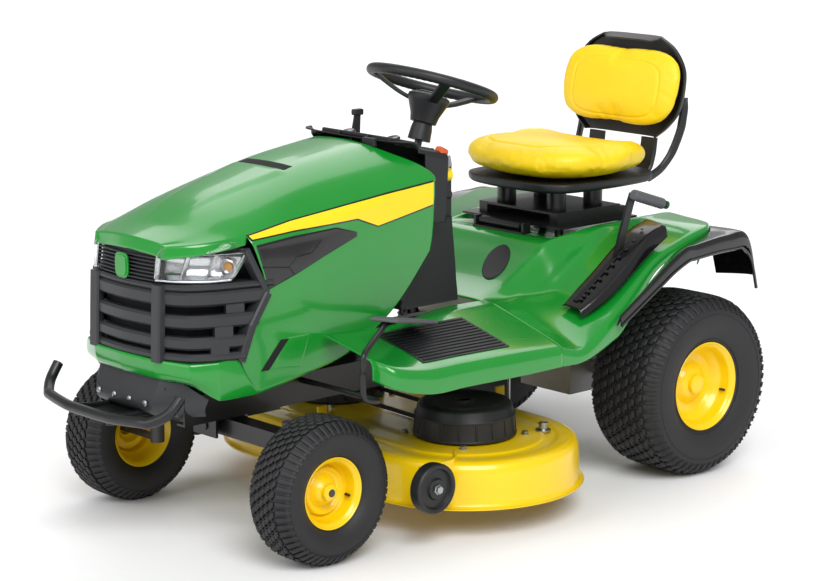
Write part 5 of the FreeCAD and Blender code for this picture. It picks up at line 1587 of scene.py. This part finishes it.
@dataclass
class Pedal(Assembly):
    """A foot pedal: a bent bar with a ribbed rubber pad."""

    node: str = "brake_pedal"
    bar: tuple[Point, ...] = ((1120, 136, 386), (1120, 457, 386), (1174, 457, 400), (1174, 457, 505), (1052, 400, 552))
    thick: float = 7.2
    centre: Point = (958, 362, 540)
    size: tuple[float, float] = (232, 74)
    lean: float = -12.0
    turn: float = 22.0

    def build(self) -> None:
        """Builds the bar, the pad's plate and its ribs."""
        bm = bmesh.new()
        sweep(bm, round_outline(self.thick, 14), self.bar, 0.16, 7)
        self.piece(f"{self.node}_bar", bm, FRAME_PAINT, (self.node,))
        turn = (Matrix.Rotation(math.radians(self.turn), 4, "Z") @ Matrix.Rotation(math.radians(self.lean), 4, "Y"))
        bm = bmesh.new()
        block(bm, self.centre, (self.size[0], self.size[1], 9), turn, 3.5)
        count = int(self.size[0] / 13)
        for k in range(count):
            shift = turn @ Vector(((k - (count - 1) / 2) * 13, 0, 4.6))
            block(bm, tuple(Vector(self.centre) + shift), (6.5, self.size[1] - 10, 4), turn, 1.2)
        self.piece(f"{self.node}_pad", bm, SOFT_RUBBER)


@dataclass
class LiftGrip(Assembly):
    """The grip on the lift lever, ribbed for the fingers, with its button's collar."""

    body: str = "lift_lever"
    start: Point = (206, 405, 768)
    way: Point = (-114, 0, -37)

    def build(self) -> None:
        """Builds the grip."""
        along = Vector(self.way).normalized()
        profile = [(0, 0), (11, 0), (14, 3)]
        for k in range(8):
            profile += [(15, 12 + 12 * k), (13.6, 17 + 12 * k), (13.6, 19 + 12 * k)]
        profile += [(15, 108), (14.5, 117), (12, 120), (7.2, 120), (7.2, 77), (0, 77)]
        bm = bmesh.new()
        lathe(bm, profile, self.start, tuple(along), 40)
        self.piece("lift_grip_moulding", bm, SOFT_RUBBER, ("lift_grip",), edge=0.5)


@dataclass(frozen=True)
class Dressing:
    """A finish for CAD nodes that keep their own shape."""

    finish: Finish
    nodes: tuple[str, ...]

    def apply(self) -> None:
        """Puts the finish on every material slot of its nodes."""
        material = self.finish.build()
        for name in self.nodes:
            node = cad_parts[name]
            if not node.data.materials:
                node.data.materials.append(material)
            for slot in node.material_slots:
                slot.material = material
            LOG.info("%s keeps its shape in %s", name, self.finish.name)


DRESSINGS = (
    Dressing(FRAME_PAINT, ("frame", "rear_hitch_plate", "seat_bracket", "seat_plate", "seat_frame", "front_axle",
                           "fan_shroud")),
    Dressing(CAST_IRON, ("kingpin_left", "kingpin_right", "drive_pulleys")),
    Dressing(CAST_ALLOY, ("engine_block", "transaxle")),
    Dressing(BRIGHT_STEEL, ("deck_fittings", "blade_left", "blade_right", "ignition_key")),
    Dressing(BLACK_TRIM, ("battery", "throttle_lever", "choke_knob", "park_brake_knob")),
    Dressing(RUBBER, ("drive_belt", "mower_belt")),
    Dressing(TANK, ("fuel_tank",)),
    Dressing(FRAME_PAINT, ("lift_lever", "steering_shaft")),
    Dressing(DARK_GREEN, ("lift_button",)),
    Dressing(YELLOW_FILM, ("pto_knob",)),
)


def main() -> None:
    """Builds the studio and every sub-assembly in order."""
    logging.basicConfig(level=logging.INFO)
    Studio().build()
    for sign, side in ((1, "left"), (-1, "right")):
        front = Wheel(body=f"front_wheel_{side}", sign=sign, centre=(1240, sign * 374, 177.5))
        rear = Wheel(body=f"rear_wheel_{side}", end="rear", sign=sign, radius=242, width=232, flange=118, bead=106,
                     half=98, dish=30, hub=22, centre=(0, sign * 391, 242), round_count=46, rows=7)
        for wheel in (front, rear):
            wheel.tyre()
            wheel.rim()
    Hood().build()
    Fenders().build()
    Dash().build()
    SteeringWheel().build()
    Seat().build()
    MowerDeck().build()
    FrontGuard().build()
    Pedal(body="brake_pedal").build()
    Pedal(body="forward_pedal", node="forward_pedal", bar=((1120, -136, 386), (1120, -457, 386), (1174, -457, 400),
          (1174, -457, 505), (1084, -420, 550)), centre=(1050, -404, 548), size=(110, 66), lean=-14, turn=-22).build()
    Pedal(body="reverse_pedal", node="reverse_pedal", bar=((1040, -136, 386), (1040, -300, 386), (1046, -300, 552)),
          thick=7, centre=(1020, -300, 546), size=(90, 60), turn=0).build()
    LiftGrip().build()
    for dressing in DRESSINGS:
        dressing.apply()


if __name__ == "__main__":
    main()
